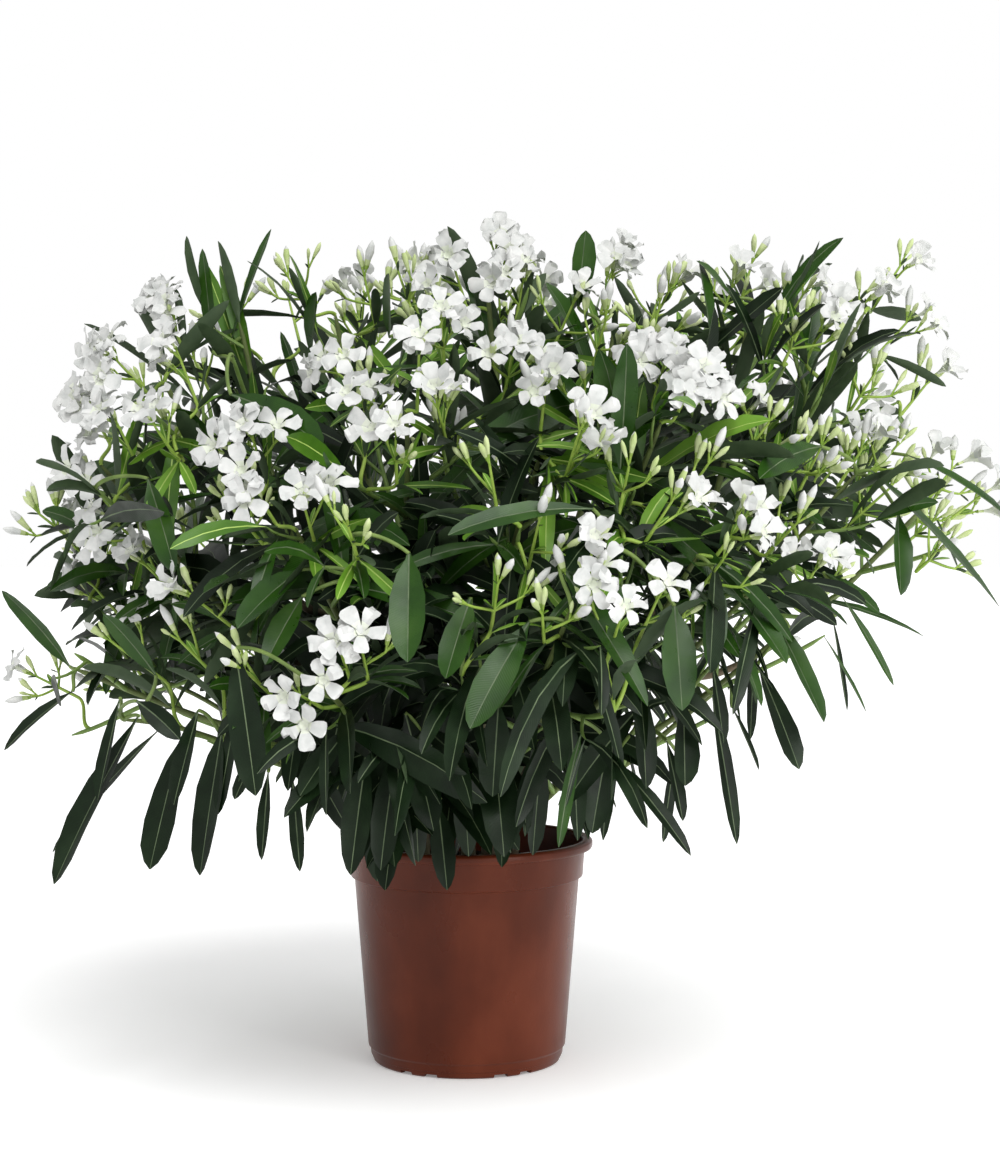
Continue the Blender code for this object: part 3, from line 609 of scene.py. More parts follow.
def stem_seat(stem, share):
    """The place on a stem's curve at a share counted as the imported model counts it."""
    place = share * PACKED_SPANS
    flare = len(FLARE_SHARES)
    if place < 1.0:
        return flare * place / (STEM_STEPS + flare)
    return (flare + (place - 1.0) * STEM_STEPS / (PACKED_SPANS - 1)) / (STEM_STEPS + flare)


def seat_on(parent, share, goal):
    """Where a limb stands on its parent, and the way it sets off."""
    point, way, radius = parent.at(share)
    if share >= 1.0:
        return point, way
    side = across(way, goal - point)
    return point + side * radius * 0.6, side


def tip_of(shoot):
    return HEART + towards(shoot.compass, shoot.lift) * shoot.reach


def shoot_way(shoot):
    """The direction in which a shoot's tip points: outwards, turned up to the light."""
    rise = TIP_RISE - TIP_DROOP * shoot.droop
    return (towards(shoot.compass, shoot.lift) + UP * rise).normalized()


def bough_route(shoot, stem):
    end = tip_of(shoot) - shoot_way(shoot) * LEAFY_LENGTH
    start, way = seat_on(stem, stem_seat(stem, shoot.seat), end)
    arrive = (tip_of(shoot) - start).normalized()
    return Route(curved(start, way, end, arrive, BOUGH_STEPS), taper(*BOUGH_RADII, BOUGH_STEPS))


def leader_route(shoot, parent, share):
    start, way = seat_on(parent, share, tip_of(shoot))
    points = curved(start, way, tip_of(shoot), shoot_way(shoot), LEADER_STEPS)
    return Route(points, taper(*LEADER_RADII, LEADER_STEPS))


stem_routes = {name: stem_route(stem) for name, stem in STEMS.items()}
bough_routes, leader_routes = {}, {}
for shoot in SHOOTS:
    stem = stem_routes[shoot.stem]
    if shoot.bough:
        bough_routes[shoot.name] = bough_route(shoot, stem)
        leader_routes[shoot.name] = leader_route(shoot, bough_routes[shoot.name], 1.0)
    else:
        leader_routes[shoot.name] = leader_route(shoot, stem, stem_seat(stem, shoot.seat))
print("boughs:", len(bough_routes), "leaders:", len(leader_routes))

# %% [markdown]
# ## Woody stems and boughs
# Old oleander wood is grey-brown and smooth, with a swollen ring where each whorl of leaves has
# been and small corky dots between them. The limb is a tube of bridged rings. Its relief is real
# geometry: the rings swell at every old whorl, and noise that is long in the limb's direction
# raises low ridges.

# %% Bark relief
BARK_SIDES = 16
BARK_RING_GAP = 0.0045
SCAR_SPACING = 0.034
SCAR_WIDTH = 0.0032
SCAR_SWELL = 0.10
TYPICAL_RADIUS = 0.006
RIDGE_HEIGHT = 0.00055
RIDGES_ROUND, RIDGES_ALONG = 3.2, 42.0
CORK_SCALE, CORK_FROM = 2.6, 0.25


def frame_at(point, way, side):
    """A matrix that puts a flat ring's Z along way and its X along side."""
    x = across(way, side)
    turn = Matrix((x, way.cross(x), way)).transposed().to_4x4()
    return Matrix.Translation(point) @ turn


def bark_swell(along, around, seed):
    """How far bark stands out at a place: ridges along the limb, a swelling at old whorls."""
    scar = abs(along / SCAR_SPACING - round(along / SCAR_SPACING)) * SCAR_SPACING
    swell = SCAR_SWELL * math.exp(-((scar / SCAR_WIDTH) ** 2)) * TYPICAL_RADIUS
    x, y = math.cos(around) * RIDGES_ROUND, math.sin(around) * RIDGES_ROUND
    spot = Vector((x, y, along * RIDGES_ALONG + seed))
    corky = max(0.0, noise.noise(spot * CORK_SCALE) - CORK_FROM)
    return swell + RIDGE_HEIGHT * (noise.noise(spot) + 1.5 * corky)


def bark_limb(name, route, seed, material, node):
    """A tube of rings along a route, bridged, capped and raised into bark."""
    bm = bmesh.new()
    length = route.length()
    rings = max(8, int(length / BARK_RING_GAP))
    side = route.ways[0].orthogonal()
    loops = []
    for i in range(rings + 1):
        point, way, radius = route.at(i / rings)
        side = across(way, side)
        ring = bmesh.ops.create_circle(
            bm, segments=BARK_SIDES, radius=1.0, matrix=frame_at(point, way, side)
        )["verts"]
        for k, vert in enumerate(ring):
            out = (vert.co - point).normalized()
            around = math.tau * k / BARK_SIDES
            vert.co = point + out * (radius + bark_swell(length * i / rings, around, seed))
        loops.append(ring)
    bmesh.ops.bridge_loops(bm, edges=bm.edges)
    bm.faces.new(list(reversed(loops[0])))
    bm.faces.new(loops[-1])
    return place_piece(mesh_from(bm, name), [material], nodes=(node,))


# %% [markdown]
# The bark's colour drifts from grey-brown to olive. All three tints are close, because a strong
# pattern on a stem as thin as a pencil would look like paint.

# %% Bark finish and the seventeen limbs
def stem_bark():
    bark = principled("stem_bark", (0.120, 0.092, 0.052), 0.72)
    patches = speckle(bark, 34.0, stretch=(1.0, 1.0, 0.5), detail=6.0)
    spread(bark, patches, "Base Color", (
        (0.30, (0.060, 0.048, 0.030)),
        (0.52, (0.128, 0.098, 0.058)),
        (0.74, (0.150, 0.150, 0.075)),
    ))
    spread(bark, speckle(bark, 160.0), "Roughness", ((0.3, 0.62), (0.7, 0.84)))
    relief(bark, speckle(bark, 620.0, detail=4.0), 0.0003, strength=0.7)
    return bark


BARK = stem_bark()
for seed, (name, route) in enumerate(stem_routes.items()):
    bark_limb(name + "_bark", route, 3.1 * seed, BARK, name)
for seed, (name, route) in enumerate(bough_routes.items()):
    bark_limb("bough_" + name + "_bark", route, 40.0 + 2.7 * seed, BARK, "bough_" + name)

# %% [markdown]
# ## Soil
# Potting soil is loose peat and bark fines. The filled inside is one turned plug with a top of
# close rings, which noise heaves into a rough surface, and loose crumbs lie on it.

# %% Soil plug
SOIL_RINGS = 26
SOIL_SIDES = 96
SOIL_HEAVE = 0.0026


def soil_plug():
    """A turned plug inside the pot, with a heaved top."""
    rim = wall_radius(BAND_FOOT_HEIGHT - LIP_EDGE) - 2 * GAP
    foot = FLOOR_THICKNESS + GAP
    section = [(0.0, foot), (wall_radius(foot) - 2 * GAP, foot), (rim, BAND_FOOT_HEIGHT - LIP_EDGE)]
    section += [(rim * (1 - i / SOIL_RINGS), SOIL_TOP) for i in range(SOIL_RINGS + 1)]
    bm = turned(section, SOIL_SIDES)
    for vert in bm.verts:
        if vert.co.z > SOIL_TOP - 1e-4 and vert.co.xy.length < rim - 1e-4:
            heave = noise.fractal(vert.co * 60.0, 1.0, 2.1, 4) + 0.5 * noise.noise(vert.co * 240.0)
            vert.co.z += SOIL_HEAVE * heave
    return mesh_from(bm, "soil_bed")


def peat():
    earth = principled("peat", (0.020, 0.013, 0.009), 0.95, specular=0.2)
    spread(earth, speckle(earth, 210.0, detail=5.0), "Base Color", (
        (0.32, (0.008, 0.006, 0.004)),
        (0.55, (0.024, 0.015, 0.010)),
        (0.80, (0.060, 0.038, 0.022)),
    ))
    relief(earth, speckle(earth, 380.0, detail=5.0), 0.0012)
    return earth


PEAT = peat()
place_piece(soil_plug(), [PEAT], nodes=("soil",), sharp_angle=60.0)

# %% [markdown]
# ## Many small things at once
# The crown has thousands of leaves, petals and stalks. One object each would be slow to render
# and impossible to export, so each kind is made as one mesh. A pattern shape is modelled once
# with bmesh. Its corners are read into an array, all the copies are bent and placed by numpy,
# and `joined` writes them as a single mesh, with a material number for each face.

# %% Helper that joins copies of a pattern
def pattern_of(bm):
    """A modelled pattern as arrays: its points, and its faces as tuples of point numbers."""
    bmesh.ops.recalc_face_normals(bm, faces=bm.faces)
    bm.verts.index_update()
    points = np.array([vert.co[:] for vert in bm.verts])
    faces = [tuple(vert.index for vert in face.verts) for face in bm.faces]
    bm.free()
    return points, faces


def joined(name, copies, faces, tones, surface_map=None):
    """One mesh of many copies: copies is (number, points, 3), tones is (number, faces).
    surface_map gives each pattern point a (along, across) place for textures."""
    number, per_copy = copies.shape[:2]
    sizes = np.tile([len(face) for face in faces], number)
    corners = np.concatenate([np.array(face) for face in faces])
    loops = (corners[None, :] + np.arange(number)[:, None] * per_copy).ravel()
    mesh = bpy.data.meshes.new(name)
    mesh.vertices.add(number * per_copy)
    mesh.vertices.foreach_set("co", copies.astype(np.float32).ravel())
    mesh.loops.add(len(loops))
    mesh.loops.foreach_set("vertex_index", loops.astype(np.int32))
    mesh.polygons.add(len(sizes))
    starts = np.concatenate(([0], np.cumsum(sizes)[:-1]))
    mesh.polygons.foreach_set("loop_start", starts.astype(np.int32))
    mesh.polygons.foreach_set("material_index", tones.astype(np.int32).ravel())
    mesh.update(calc_edges=True)
    if surface_map is not None:
        layer = mesh.uv_layers.new(name="surface_map")
        places = np.tile(surface_map[corners], (number, 1))
        layer.data.foreach_set("uv", places.astype(np.float32).ravel())
    return mesh


# %% [markdown]
# A leaf, a petal and a stalk all follow a centre line. The next helper walks along many centre
# lines together and carries a side and a face direction along each, so that no copy twists by
# accident where its line turns.

# %% Helper that carries directions along many lines
def unit(vectors):
    return vectors / np.maximum(np.linalg.norm(vectors, axis=-1, keepdims=True), 1e-9)


def dots(a, b):
    return np.sum(a * b, axis=-1, keepdims=True)


def carried(ways, face_hint):
    """Side and face directions along (number, rows, 3) ways, starting from a face hint."""
    faces = np.empty_like(ways)
    face = unit(face_hint - ways[:, 0] * dots(face_hint, ways[:, 0]))
    for row in range(ways.shape[1]):
        face = unit(face - ways[:, row] * dots(face, ways[:, row]))
        faces[:, row] = face
    return np.cross(ways, faces), faces


def turned_about(sides, faces, turn):
    """Side and face directions turned together about their line, by an angle in radians."""
    return sides * np.cos(turn) + faces * np.sin(turn), faces * np.cos(turn) - sides * np.sin(turn)


def centres_from(roots, ways, steps):
    """Centre lines that start at roots and go along ways; steps is (number, rows - 1)."""
    mid_ways = unit(ways[:, :-1] + ways[:, 1:])
    walked = np.cumsum(mid_ways * steps[:, :, None], axis=1)
    return np.concatenate((roots[:, None], roots[:, None] + walked), axis=1)


# %% [markdown]
# ## Soil crumbs
# The crumbs are the first joined kind: a ball of twenty faces, squeezed and turned differently
# in each copy, half sunk in the soil's top.

# %% Soil crumbs
CRUMBS = 420
CRUMB_RADIUS = (0.0010, 0.0036)
CRUMBS_OF_BARK = 0.18


def soil_crumbs():
    bm = bmesh.new()
    bmesh.ops.create_icosphere(bm, subdivisions=1, radius=1.0)
    points, faces = pattern_of(bm)
    draw = np.random.default_rng(7)
    rim = wall_radius(BAND_FOOT_HEIGHT) - 0.005
    distance = rim * np.sqrt(draw.random(CRUMBS))
    bearing = draw.random(CRUMBS) * math.tau
    height = np.full(CRUMBS, SOIL_TOP)
    middles = np.stack((distance * np.cos(bearing), distance * np.sin(bearing), height), axis=1)
    size = draw.uniform(*CRUMB_RADIUS, CRUMBS)[:, None, None]
    squeeze = draw.uniform(0.55, 1.3, (CRUMBS, 1, 3))
    lumps = draw.uniform(0.8, 1.2, (CRUMBS, len(points), 1))
    copies = middles[:, None] + points[None] * size * squeeze * lumps
    bark = (draw.random(CRUMBS) < CRUMBS_OF_BARK).astype(int)
    tones = np.repeat(bark[:, None], len(faces), axis=1)
    return joined("soil_crumbs", copies, faces, tones)


def bark_fines():
    fines = principled("bark_fines", (0.070, 0.042, 0.025), 0.9, specular=0.2)
    spread(fines, speckle(fines, 260.0), "Base Color", (
        (0.3, (0.045, 0.028, 0.018)),
        (0.7, (0.095, 0.060, 0.036)),
    ))
    return fines


place_piece(soil_crumbs(), [PEAT, bark_fines()], sharp_angle=80.0)

# %% [markdown]
# ## Twigs, and finer twigs
# Each leader bears two or three side twigs, fanned evenly round it, exactly as in the packed
# model. Here the rule goes one step further: leaders and twigs bear sprigs, by the same curve at
# about half the size, turned by the golden angle from one to the next so that they fill the
# space evenly.

# %% Twigs and sprigs
TWIG_LENGTH = 0.112
TWIG_SPREAD = 0.085
TWIG_STEPS = 8
SPRIG_LENGTH = 0.070
SPRIG_STEPS = 5
GOLDEN_ANGLE = 137.5
HANGING = 0.7
SPRIG_SHARES = (0.15, 0.45, 0.72)
HANGING_SPRIG_SHARES = (0.40,)
TWIG_BARE, SPRIG_BARE = 0.22, 0.35
Spray = namedtuple("Spray", "shoot route first order")


def leafy_start(route):
    """The share of a leader at which its leaves and twigs begin."""
    return max(0.16, 1.0 - LEAFY_LENGTH / route.length())


def twig_route(shoot, leader, k, draw):
    """One of a leader's side twigs, which are fanned evenly round it from the shoot's roll."""
    first = leafy_start(leader)
    share = first + (1.0 - first) * (0.26 + 0.12 * k + draw.uniform(0.0, 0.06))
    point, way, _ = leader.at(share)
    side = turned_side(way, shoot.roll + 360.0 * k / shoot.forks + draw.uniform(-12, 12))
    grown = TWIG_LENGTH * draw.uniform(0.9, 1.08)
    tip = point + way * grown + side * TWIG_SPREAD * draw.uniform(0.85, 1.15)
    arrive = (way + side * 0.2 + UP * (0.25 - 0.4 * shoot.droop)).normalized()
    points = curved(point, (way + side * 1.1).normalized(), tip, arrive, TWIG_STEPS)
    return Route(points, taper(0.0028, 0.0018, TWIG_STEPS))


def sprig_route(shoot, parent, share, turn, draw):
    """A finer twig: the twig rule again at about half the size."""
    point, way, _ = parent.at(share)
    side = turned_side(way, turn)
    grown = SPRIG_LENGTH * draw.uniform(0.75, 1.2)
    tip = point + way * grown * 0.85 + side * grown * 0.6
    arrive = (way + side * 0.25 + UP * (0.3 - 0.4 * shoot.droop)).normalized()
    points = curved(point, (way + side * 1.1).normalized(), tip, arrive, SPRIG_STEPS)
    return Route(points, taper(0.0019, 0.0012, SPRIG_STEPS))


def sprays_of(number, shoot, leader):
    """A shoot's leader, twigs and sprigs, each as a spray that will bear leaves."""
    draw = random.Random(number)
    first = leafy_start(leader)
    sprays = [Spray(shoot, leader, first, 0)]
    twigs = [twig_route(shoot, leader, k, draw) for k in range(shoot.forks)]
    sprays += [Spray(shoot, twig, TWIG_BARE, 1) for twig in twigs]
    turn = shoot.roll + 60.0
    hanging = shoot.droop > HANGING
    for share in (HANGING_SPRIG_SHARES if hanging else SPRIG_SHARES):
        turn += GOLDEN_ANGLE
        sprig = sprig_route(shoot, leader, first + (1 - first) * share, turn, draw)
        sprays.append(Spray(shoot, sprig, SPRIG_BARE, 2))
    for twig in ([] if hanging else twigs):
        turn += GOLDEN_ANGLE
        sprig = sprig_route(shoot, twig, 0.5, turn, draw)
        sprays.append(Spray(shoot, sprig, SPRIG_BARE, 2))
    return sprays


sprays = []
for number, shoot in enumerate(SHOOTS):
    sprays += sprays_of(number, shoot, leader_routes[shoot.name])
print("sprays:", len(sprays), "of orders", [sum(s.order == k for s in sprays) for k in range(3)])

# %% [markdown]
# ## The crown's limits
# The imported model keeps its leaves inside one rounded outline, which rises off the pot at the
# front and climbs at the right, where the crown is open below. The same test is used here, so
# the dressed plant has the same reach. It takes arrays, because it is asked about every leaf.

# %% Crown limits
CROWN_TOP = 0.838
CROWN_SQUARENESS = 4
CROWN_MIDDLE_X = 0.035
CROWN_HALF_WIDTH = 0.512
CROWN_HALF_DEPTH = 0.462
CROWN_FOOT = 0.200
CROWN_FOOT_FRONT_RISE = 0.11
CROWN_FOOT_CLIMBS_FROM = 0.210
CROWN_FOOT_CLIMB = 1.10


def in_crown(points):
    """True for each of (number, 3) points that lies inside the crown's outline."""
    x, y, z = points[:, 0], points[:, 1], points[:, 2]
    round_about = np.hypot((x - CROWN_MIDDLE_X) / CROWN_HALF_WIDTH, y / CROWN_HALF_DEPTH)
    high = np.maximum(z - HEART.z, 0.0) / (CROWN_TOP - HEART.z)
    foot = CROWN_FOOT + CROWN_FOOT_FRONT_RISE * np.maximum(0.0, -y)
    foot = foot + CROWN_FOOT_CLIMB * np.maximum(0.0, x - CROWN_FOOT_CLIMBS_FROM)
    return (z > foot) & (round_about**CROWN_SQUARENESS + high**CROWN_SQUARENESS < 1.0)


# %% [markdown]
# The crown isn't equally dense everywhere. Low at both sides a few long leaves hang on their
# own, with air between them, so the leaves that grow by rule keep above a second line that
# climbs from the pot's rim. That line climbs again at the far left, and at the right it keeps
# the pot's mouth open. These are rules by place, because they come from the light and the
# weight of the flowers, and not from any one shoot.

# %% Where the crown is open
OPEN_RIGHT_FROM, OPEN_RIGHT_CLIMB = 0.119, 0.98
OPEN_LEFT_FROM, OPEN_LEFT_CLIMB = -0.105, 0.90
OPEN_FOOT, OPEN_LEFT_TOP = 0.234, 0.345
FAR_LEFT_FROM, FAR_LEFT_CLIMB = -0.340, 1.10
OPEN_MOUTH_FROM, OPEN_MOUTH_TOP = 0.060, 0.256


def above_open_foot(points):
    """True for each point above the line under which only single leaves hang."""
    x, z = points[:, 0], points[:, 2]
    right = OPEN_FOOT + OPEN_RIGHT_CLIMB * (x - OPEN_RIGHT_FROM)
    left = np.minimum(OPEN_LEFT_TOP, OPEN_FOOT + OPEN_LEFT_CLIMB * (OPEN_LEFT_FROM - x))
    left = left + FAR_LEFT_CLIMB * np.maximum(0.0, FAR_LEFT_FROM - x)
    right = np.where(x < OPEN_RIGHT_FROM, OPEN_MOUTH_TOP, right)
    clear_right = (x < OPEN_MOUTH_FROM) | (z > right)
    clear_left = (x > OPEN_LEFT_FROM) | (z > left)
    return np.where(x > 0.0, clear_right, clear_left)


# %% [markdown]
# Inside those lines the crown still thins out. A gap left of the top shows the sky, the low left
# is airy, and the top and the right have a few leaves less. In the open right foot the leaves
# are slim and limp. Two functions say how far that holds at a place.

# %% Where leaves are limp or missing
LIMP_FROM_X, LIMP_FROM_Z = 0.02, 0.50
LIMP_OVER_X, LIMP_OVER_Z = 0.12, 0.10
HIGH_FROM, HIGH_OVER = 0.55, 0.13
SKY_GAP_MIDDLE, SKY_GAP_HALF_WIDTH = -0.21, 0.19
RIGHT_FROM, RIGHT_OVER = 0.20, 0.14
LOW_BELOW, LOW_OVER = 0.52, 0.08
LEFT_FROM, LEFT_OVER = -0.26, 0.10
AIRY_HIGH, AIRY_SKY_GAP, AIRY_RIGHT, AIRY_LOW_LEFT = 0.16, 0.62, 0.05, 0.40
AIRIEST = 0.75


def clamped(share):
    """A share kept between 0 and 1."""
    return min(1.0, max(0.0, share))


def low_right(place):
    """From 0 to 1: how much a place belongs to the open right foot, where leaves are limp."""
    aside = clamped((place.x - LIMP_FROM_X) / LIMP_OVER_X)
    return aside * clamped((LIMP_FROM_Z - place.z) / LIMP_OVER_Z)


def missing_share(place):
    """The share of leaves that is missing at a place."""
    high = clamped((place.z - HIGH_FROM) / HIGH_OVER)
    sky_gap = max(0.0, 1.0 - abs(place.x - SKY_GAP_MIDDLE) / SKY_GAP_HALF_WIDTH)
    right = clamped((place.x - RIGHT_FROM) / RIGHT_OVER)
    low = clamped((LOW_BELOW - place.z) / LOW_OVER)
    low_left = low * clamped((LEFT_FROM - place.x) / LEFT_OVER)
    airy = AIRY_HIGH * high + AIRY_SKY_GAP * high * sky_gap
    airy = airy + AIRY_RIGHT * right + AIRY_LOW_LEFT * low_left
    return min(AIRIEST, airy)


print("leaves missing at the top:", round(missing_share(HEART + UP * 0.5), 2))

# %% [markdown]
# ## Where the trusses stand
# The flowers stand in trusses all over the crown's outside: a dense ball at the right of the
# front, a broad band at the left, and candelabra of buds at the top and the right. Each row
# names one truss by the place of its middle, as the growth plan does, and by its open flowers
# and its buds.

# %% Truss plan
Truss = namedtuple("Truss", "compass lift reach flowers buds")
NEAR_TRUSSES = (
    # the band at the left
    (-73, 53, 0.551, 5, 1), (-71, 47, 0.541, 5, 1), (-62, 49, 0.511, 3, 1), (-79, 41, 0.535, 6, 1),
    (-66, 40, 0.507, 4, 1), (-57, 42, 0.497, 2, 1), (-73, 35, 0.491, 2, 2), (-71, 33, 0.451, 3, 2),
    (-67, 30, 0.415, 2, 3), (-87, 23, 0.430, 1, 3), (-68, 17, 0.391, 1, 3), (-86, 10, 0.460, 1, 8),
    (-93, 27, 0.481, 0, 5), (-47, 27, 0.394, 1, 4),
    # the left front
    (-96, 68, 0.528, 0, 8), (-40, 43, 0.460, 4, 3), (-36, 38, 0.443, 3, 2), (-28, 36, 0.433, 3, 3),
    (-30, 57, 0.461, 3, 2), (-25, 50, 0.443, 3, 3), (-17, 47, 0.433, 2, 5), (-12, 64, 0.466, 4, 3),
    (-8, 52, 0.446, 2, 4), (-16, 57, 0.455, 1, 3),
    # the top
    (-30, 83, 0.495, 3, 2), (14, 85, 0.510, 4, 2), (28, 80, 0.475, 3, 3), (6, 63, 0.444, 4, 3),
    (13, 56, 0.440, 2, 4), (-90, 75, 0.499, 0, 8), (-103, 80, 0.496, 0, 7), (42, 76, 0.461, 1, 6),
    (-29, 76, 0.466, 1, 4), (82, 74, 0.504, 4, 5), (80, 69, 0.510, 1, 6), (44, 69, 0.462, 0, 8),
    (24, 57, 0.437, 1, 4), (85, 62, 0.537, 2, 6), (84, 56, 0.549, 1, 7), (96, 61, 0.576, 0, 5),
    # the right front
    (15, 46, 0.447, 1, 5), (21, 39, 0.456, 1, 6), (36, 53, 0.480, 11, 2), (36, 49, 0.486, 9, 2),
    (43, 62, 0.456, 0, 6), (24, 35, 0.455, 1, 5), (34, 41, 0.447, 0, 8), (35, 32, 0.459, 3, 4),
    (32, 29, 0.434, 0, 4), (52, 46, 0.472, 1, 6), (58, 42, 0.460, 0, 9), (14, 45, 0.455, 1, 3),
    (2, 41, 0.440, 0, 5), (7, 35, 0.417, 0, 5),
    # the low front
    (14, 29, 0.449, 2, 3), (13, 26, 0.441, 1, 2), (16, 20, 0.445, 1, 3), (21, 23, 0.442, 1, 3),
    (1, 26, 0.421, 0, 8), (8, 23, 0.435, 0, 6), (-19, 18, 0.417, 3, 2), (-24, 14, 0.404, 2, 3),
    (-17, 19, 0.408, 1, 2), (-32, 16, 0.415, 0, 5), (-49, 19, 0.388, 0, 5),
    # the right
    (80, 52, 0.554, 2, 4), (90, 51, 0.601, 2, 5), (93, 50, 0.644, 1, 6), (87, 47, 0.609, 2, 4),
    (83, 45, 0.542, 0, 9), (90, 41, 0.583, 1, 5), (69, 39, 0.495, 2, 9), (60, 40, 0.473, 0, 9),
    (81, 38, 0.514, 1, 8), (90, 32, 0.550, 2, 5), (92, 28, 0.560, 2, 3), (90, 29, 0.511, 0, 7),
    (52, 27, 0.438, 2, 6), (75, 35, 0.474, 0, 8), (49, 34, 0.445, 0, 5),
)
print("near trusses:", len(NEAR_TRUSSES))

# %% [markdown]
# The far side is filled by a golden spiral on the crown's outline. Two places are kept clear of
# any further truss: over the limp leaves at the right, and before the broad band at the left.

# %% Trusses of the far side
FAR_TRUSSES = 40
FAR_FROM, FAR_SPAN = 102.0, 156.0
FAR_LOWEST, FAR_HEIGHT = 0.16, 0.80
FAR_FLOWERS = (1, 4, 0, 3, 2, 6, 0, 3)
FAR_BUDS = (5, 3, 8, 3, 6, 3, 9, 4)
FAR_AIR = 0.62
FEW_BEFORE = 130.0
TRUSS_DEPTH = 0.052
LIMP_SIDE, LIMP_BELOW = (60.0, 130.0), 26.0
BAND_SIDE, BAND_LIFTS = (-80.0, -50.0), (38.0, 52.0)


def crown_reach(compass, lift):
    """How far the crown goes from its heart in a direction."""
    reaches = np.linspace(0.2, 0.7, 101)
    way = np.array(towards(compass, lift)[:])
    inside = in_crown(np.array(HEART[:])[None] + reaches[:, None] * way[None])
    return reaches[inside].max() if inside.any() else 0.0


def kept_clear(compass, lift):
    """True over the limp leaves at the right and before the broad band at the left."""
    limp = LIMP_SIDE[0] < compass < LIMP_SIDE[1] and lift < LIMP_BELOW
    band = BAND_SIDE[0] < compass < BAND_SIDE[1] and BAND_LIFTS[0] < lift < BAND_LIFTS[1]
    return limp or band


def far_trusses():
    """Trusses spread evenly over the crown's back half."""
    rows = []
    for k in range(FAR_TRUSSES):
        compass = FAR_FROM + (k * GOLDEN_ANGLE) % FAR_SPAN
        lift = math.degrees(math.asin(FAR_LOWEST + FAR_HEIGHT * (k + 0.5) / FAR_TRUSSES))
        if kept_clear(compass, lift):
            continue
        reach = crown_reach(compass, lift) - TRUSS_DEPTH
        airy = missing_share(HEART + towards(compass, lift) * reach) > FAR_AIR
        flowers = 0 if airy else FAR_FLOWERS[k % len(FAR_FLOWERS)]
        if compass < FEW_BEFORE:
            flowers = min(1, flowers)
        rows.append((compass, lift, reach, flowers, FAR_BUDS[k % len(FAR_BUDS)]))
    return rows


planned = [Truss(*row) for row in list(NEAR_TRUSSES) + far_trusses()]
print("planned trusses:", len(planned), "flowers:", sum(truss.flowers for truss in planned))

# %% [markdown]
# Between the planned trusses, every flowering twig that has room at its tip bears a truss of
# buds only. These candelabra make the crown's edge light and yellow-green.

# %% Bud trusses at the twigs' tips
BUD_TRUSS_ROOM = 0.052
BUD_TRUSS_LIFT = 25
BUD_TRUSS_INSET = 0.050
BUD_TRUSS_GROWTH = 0.02
BUD_TRUSS_BUDS = (7, 13)
BUD_TRUSS_AIR = 0.60


def bud_truss(spray, draw):
    """A truss of buds at a spray's tip, a little inside the crown's outline."""
    out = spray.route.at(1.0)[0] - HEART
    compass = math.degrees(math.atan2(out.x, -out.y))
    lift = math.degrees(math.asin(out.z / out.length))
    reach = min(out.length + BUD_TRUSS_GROWTH, crown_reach(compass, lift) - BUD_TRUSS_INSET)
    return Truss(compass, lift, reach, 0, draw.randint(*BUD_TRUSS_BUDS))


def middle_of(truss):
    return HEART + towards(truss.compass, truss.lift) * truss.reach


trusses = list(planned)
for number, spray in enumerate(sprays):
    if spray.order < 2 and spray.shoot.flower != "none" and spray.shoot.lift > BUD_TRUSS_LIFT:
        candidate = bud_truss(spray, random.Random(2000 + number))
        room = min((middle_of(candidate) - middle_of(truss)).length for truss in trusses)
        airy = missing_share(middle_of(candidate)) > BUD_TRUSS_AIR
        if room > BUD_TRUSS_ROOM and not airy and not kept_clear(candidate.compass, candidate.lift):
            trusses.append(candidate)
print("trusses:", len(trusses), "buds:", sum(truss.buds for truss in trusses))

# %% [markdown]
# ## Flowering shoots
# Each truss ends a young shoot of its own. It sets off from the nearest leader or twig that lies
# under it and follows the same curve as every other limb. Flowers lean outwards off their shoot,
# and at the front and the sides they turn to the light as well. That would carry a truss of open
# flowers off its place, so its shoot ends that much further back.

# %% Flowering shoots
FLOWERING_STEPS = 13
HEAD_ABOVE_SHOOT = 0.034
FLOWER_BEFORE_HEAD = 0.021
FACE_LEVEL = 0.75
FACE_LIGHT = 0.50
LIGHT_WAY = Vector((0.15, -1.0, 0.25))
LIT_UNTIL, LIT_FADE = 125.0, 40.0
SIDE_TURN, SIDE_FROM = 0.80, 70.0
SUPPORT_STEPS = 14
LAST_SUPPORT = 0.97
UNDER_COST = 0.35
FLOWERING_RADII = (0.0021, 0.0017)
Support = namedtuple("Support", "point way seat")


def places_along(route, first, number):
    """Places on a spray where something may grow, each with its seat: spray number and share."""
    span = LAST_SUPPORT - first
    shares = [first + span * i / SUPPORT_STEPS for i in range(SUPPORT_STEPS + 1)]
    return [Support(*route.at(share)[:2], (number, share)) for share in shares]


supports = [place for number, spray in enumerate(sprays) if spray.order < 2
            for place in places_along(spray.route, spray.first, number)]
support_points = np.array([place.point[:] for place in supports])


def nearest_support(place, way):
    """The limb place that a young shoot would most easily grow from to reach a place."""
    gap = np.array(place[:])[None] - support_points
    length = np.linalg.norm(gap, axis=1)
    under = np.sum(gap * np.array(way[:])[None], axis=1) / np.maximum(length, 1e-6)
    return supports[int(np.argmin(length * (1.0 + UNDER_COST * (1.0 - under))))]


def flower_lean(level, compass):
    """How flowers lean off their shoot: outwards, and at the front and sides to the light."""
    lit = clamped((LIT_UNTIL - abs(compass)) / LIT_FADE)
    lit *= 1.0 + SIDE_TURN * min(1.0, abs(compass) / SIDE_FROM)
    return level * FACE_LEVEL + LIGHT_WAY * FACE_LIGHT * lit


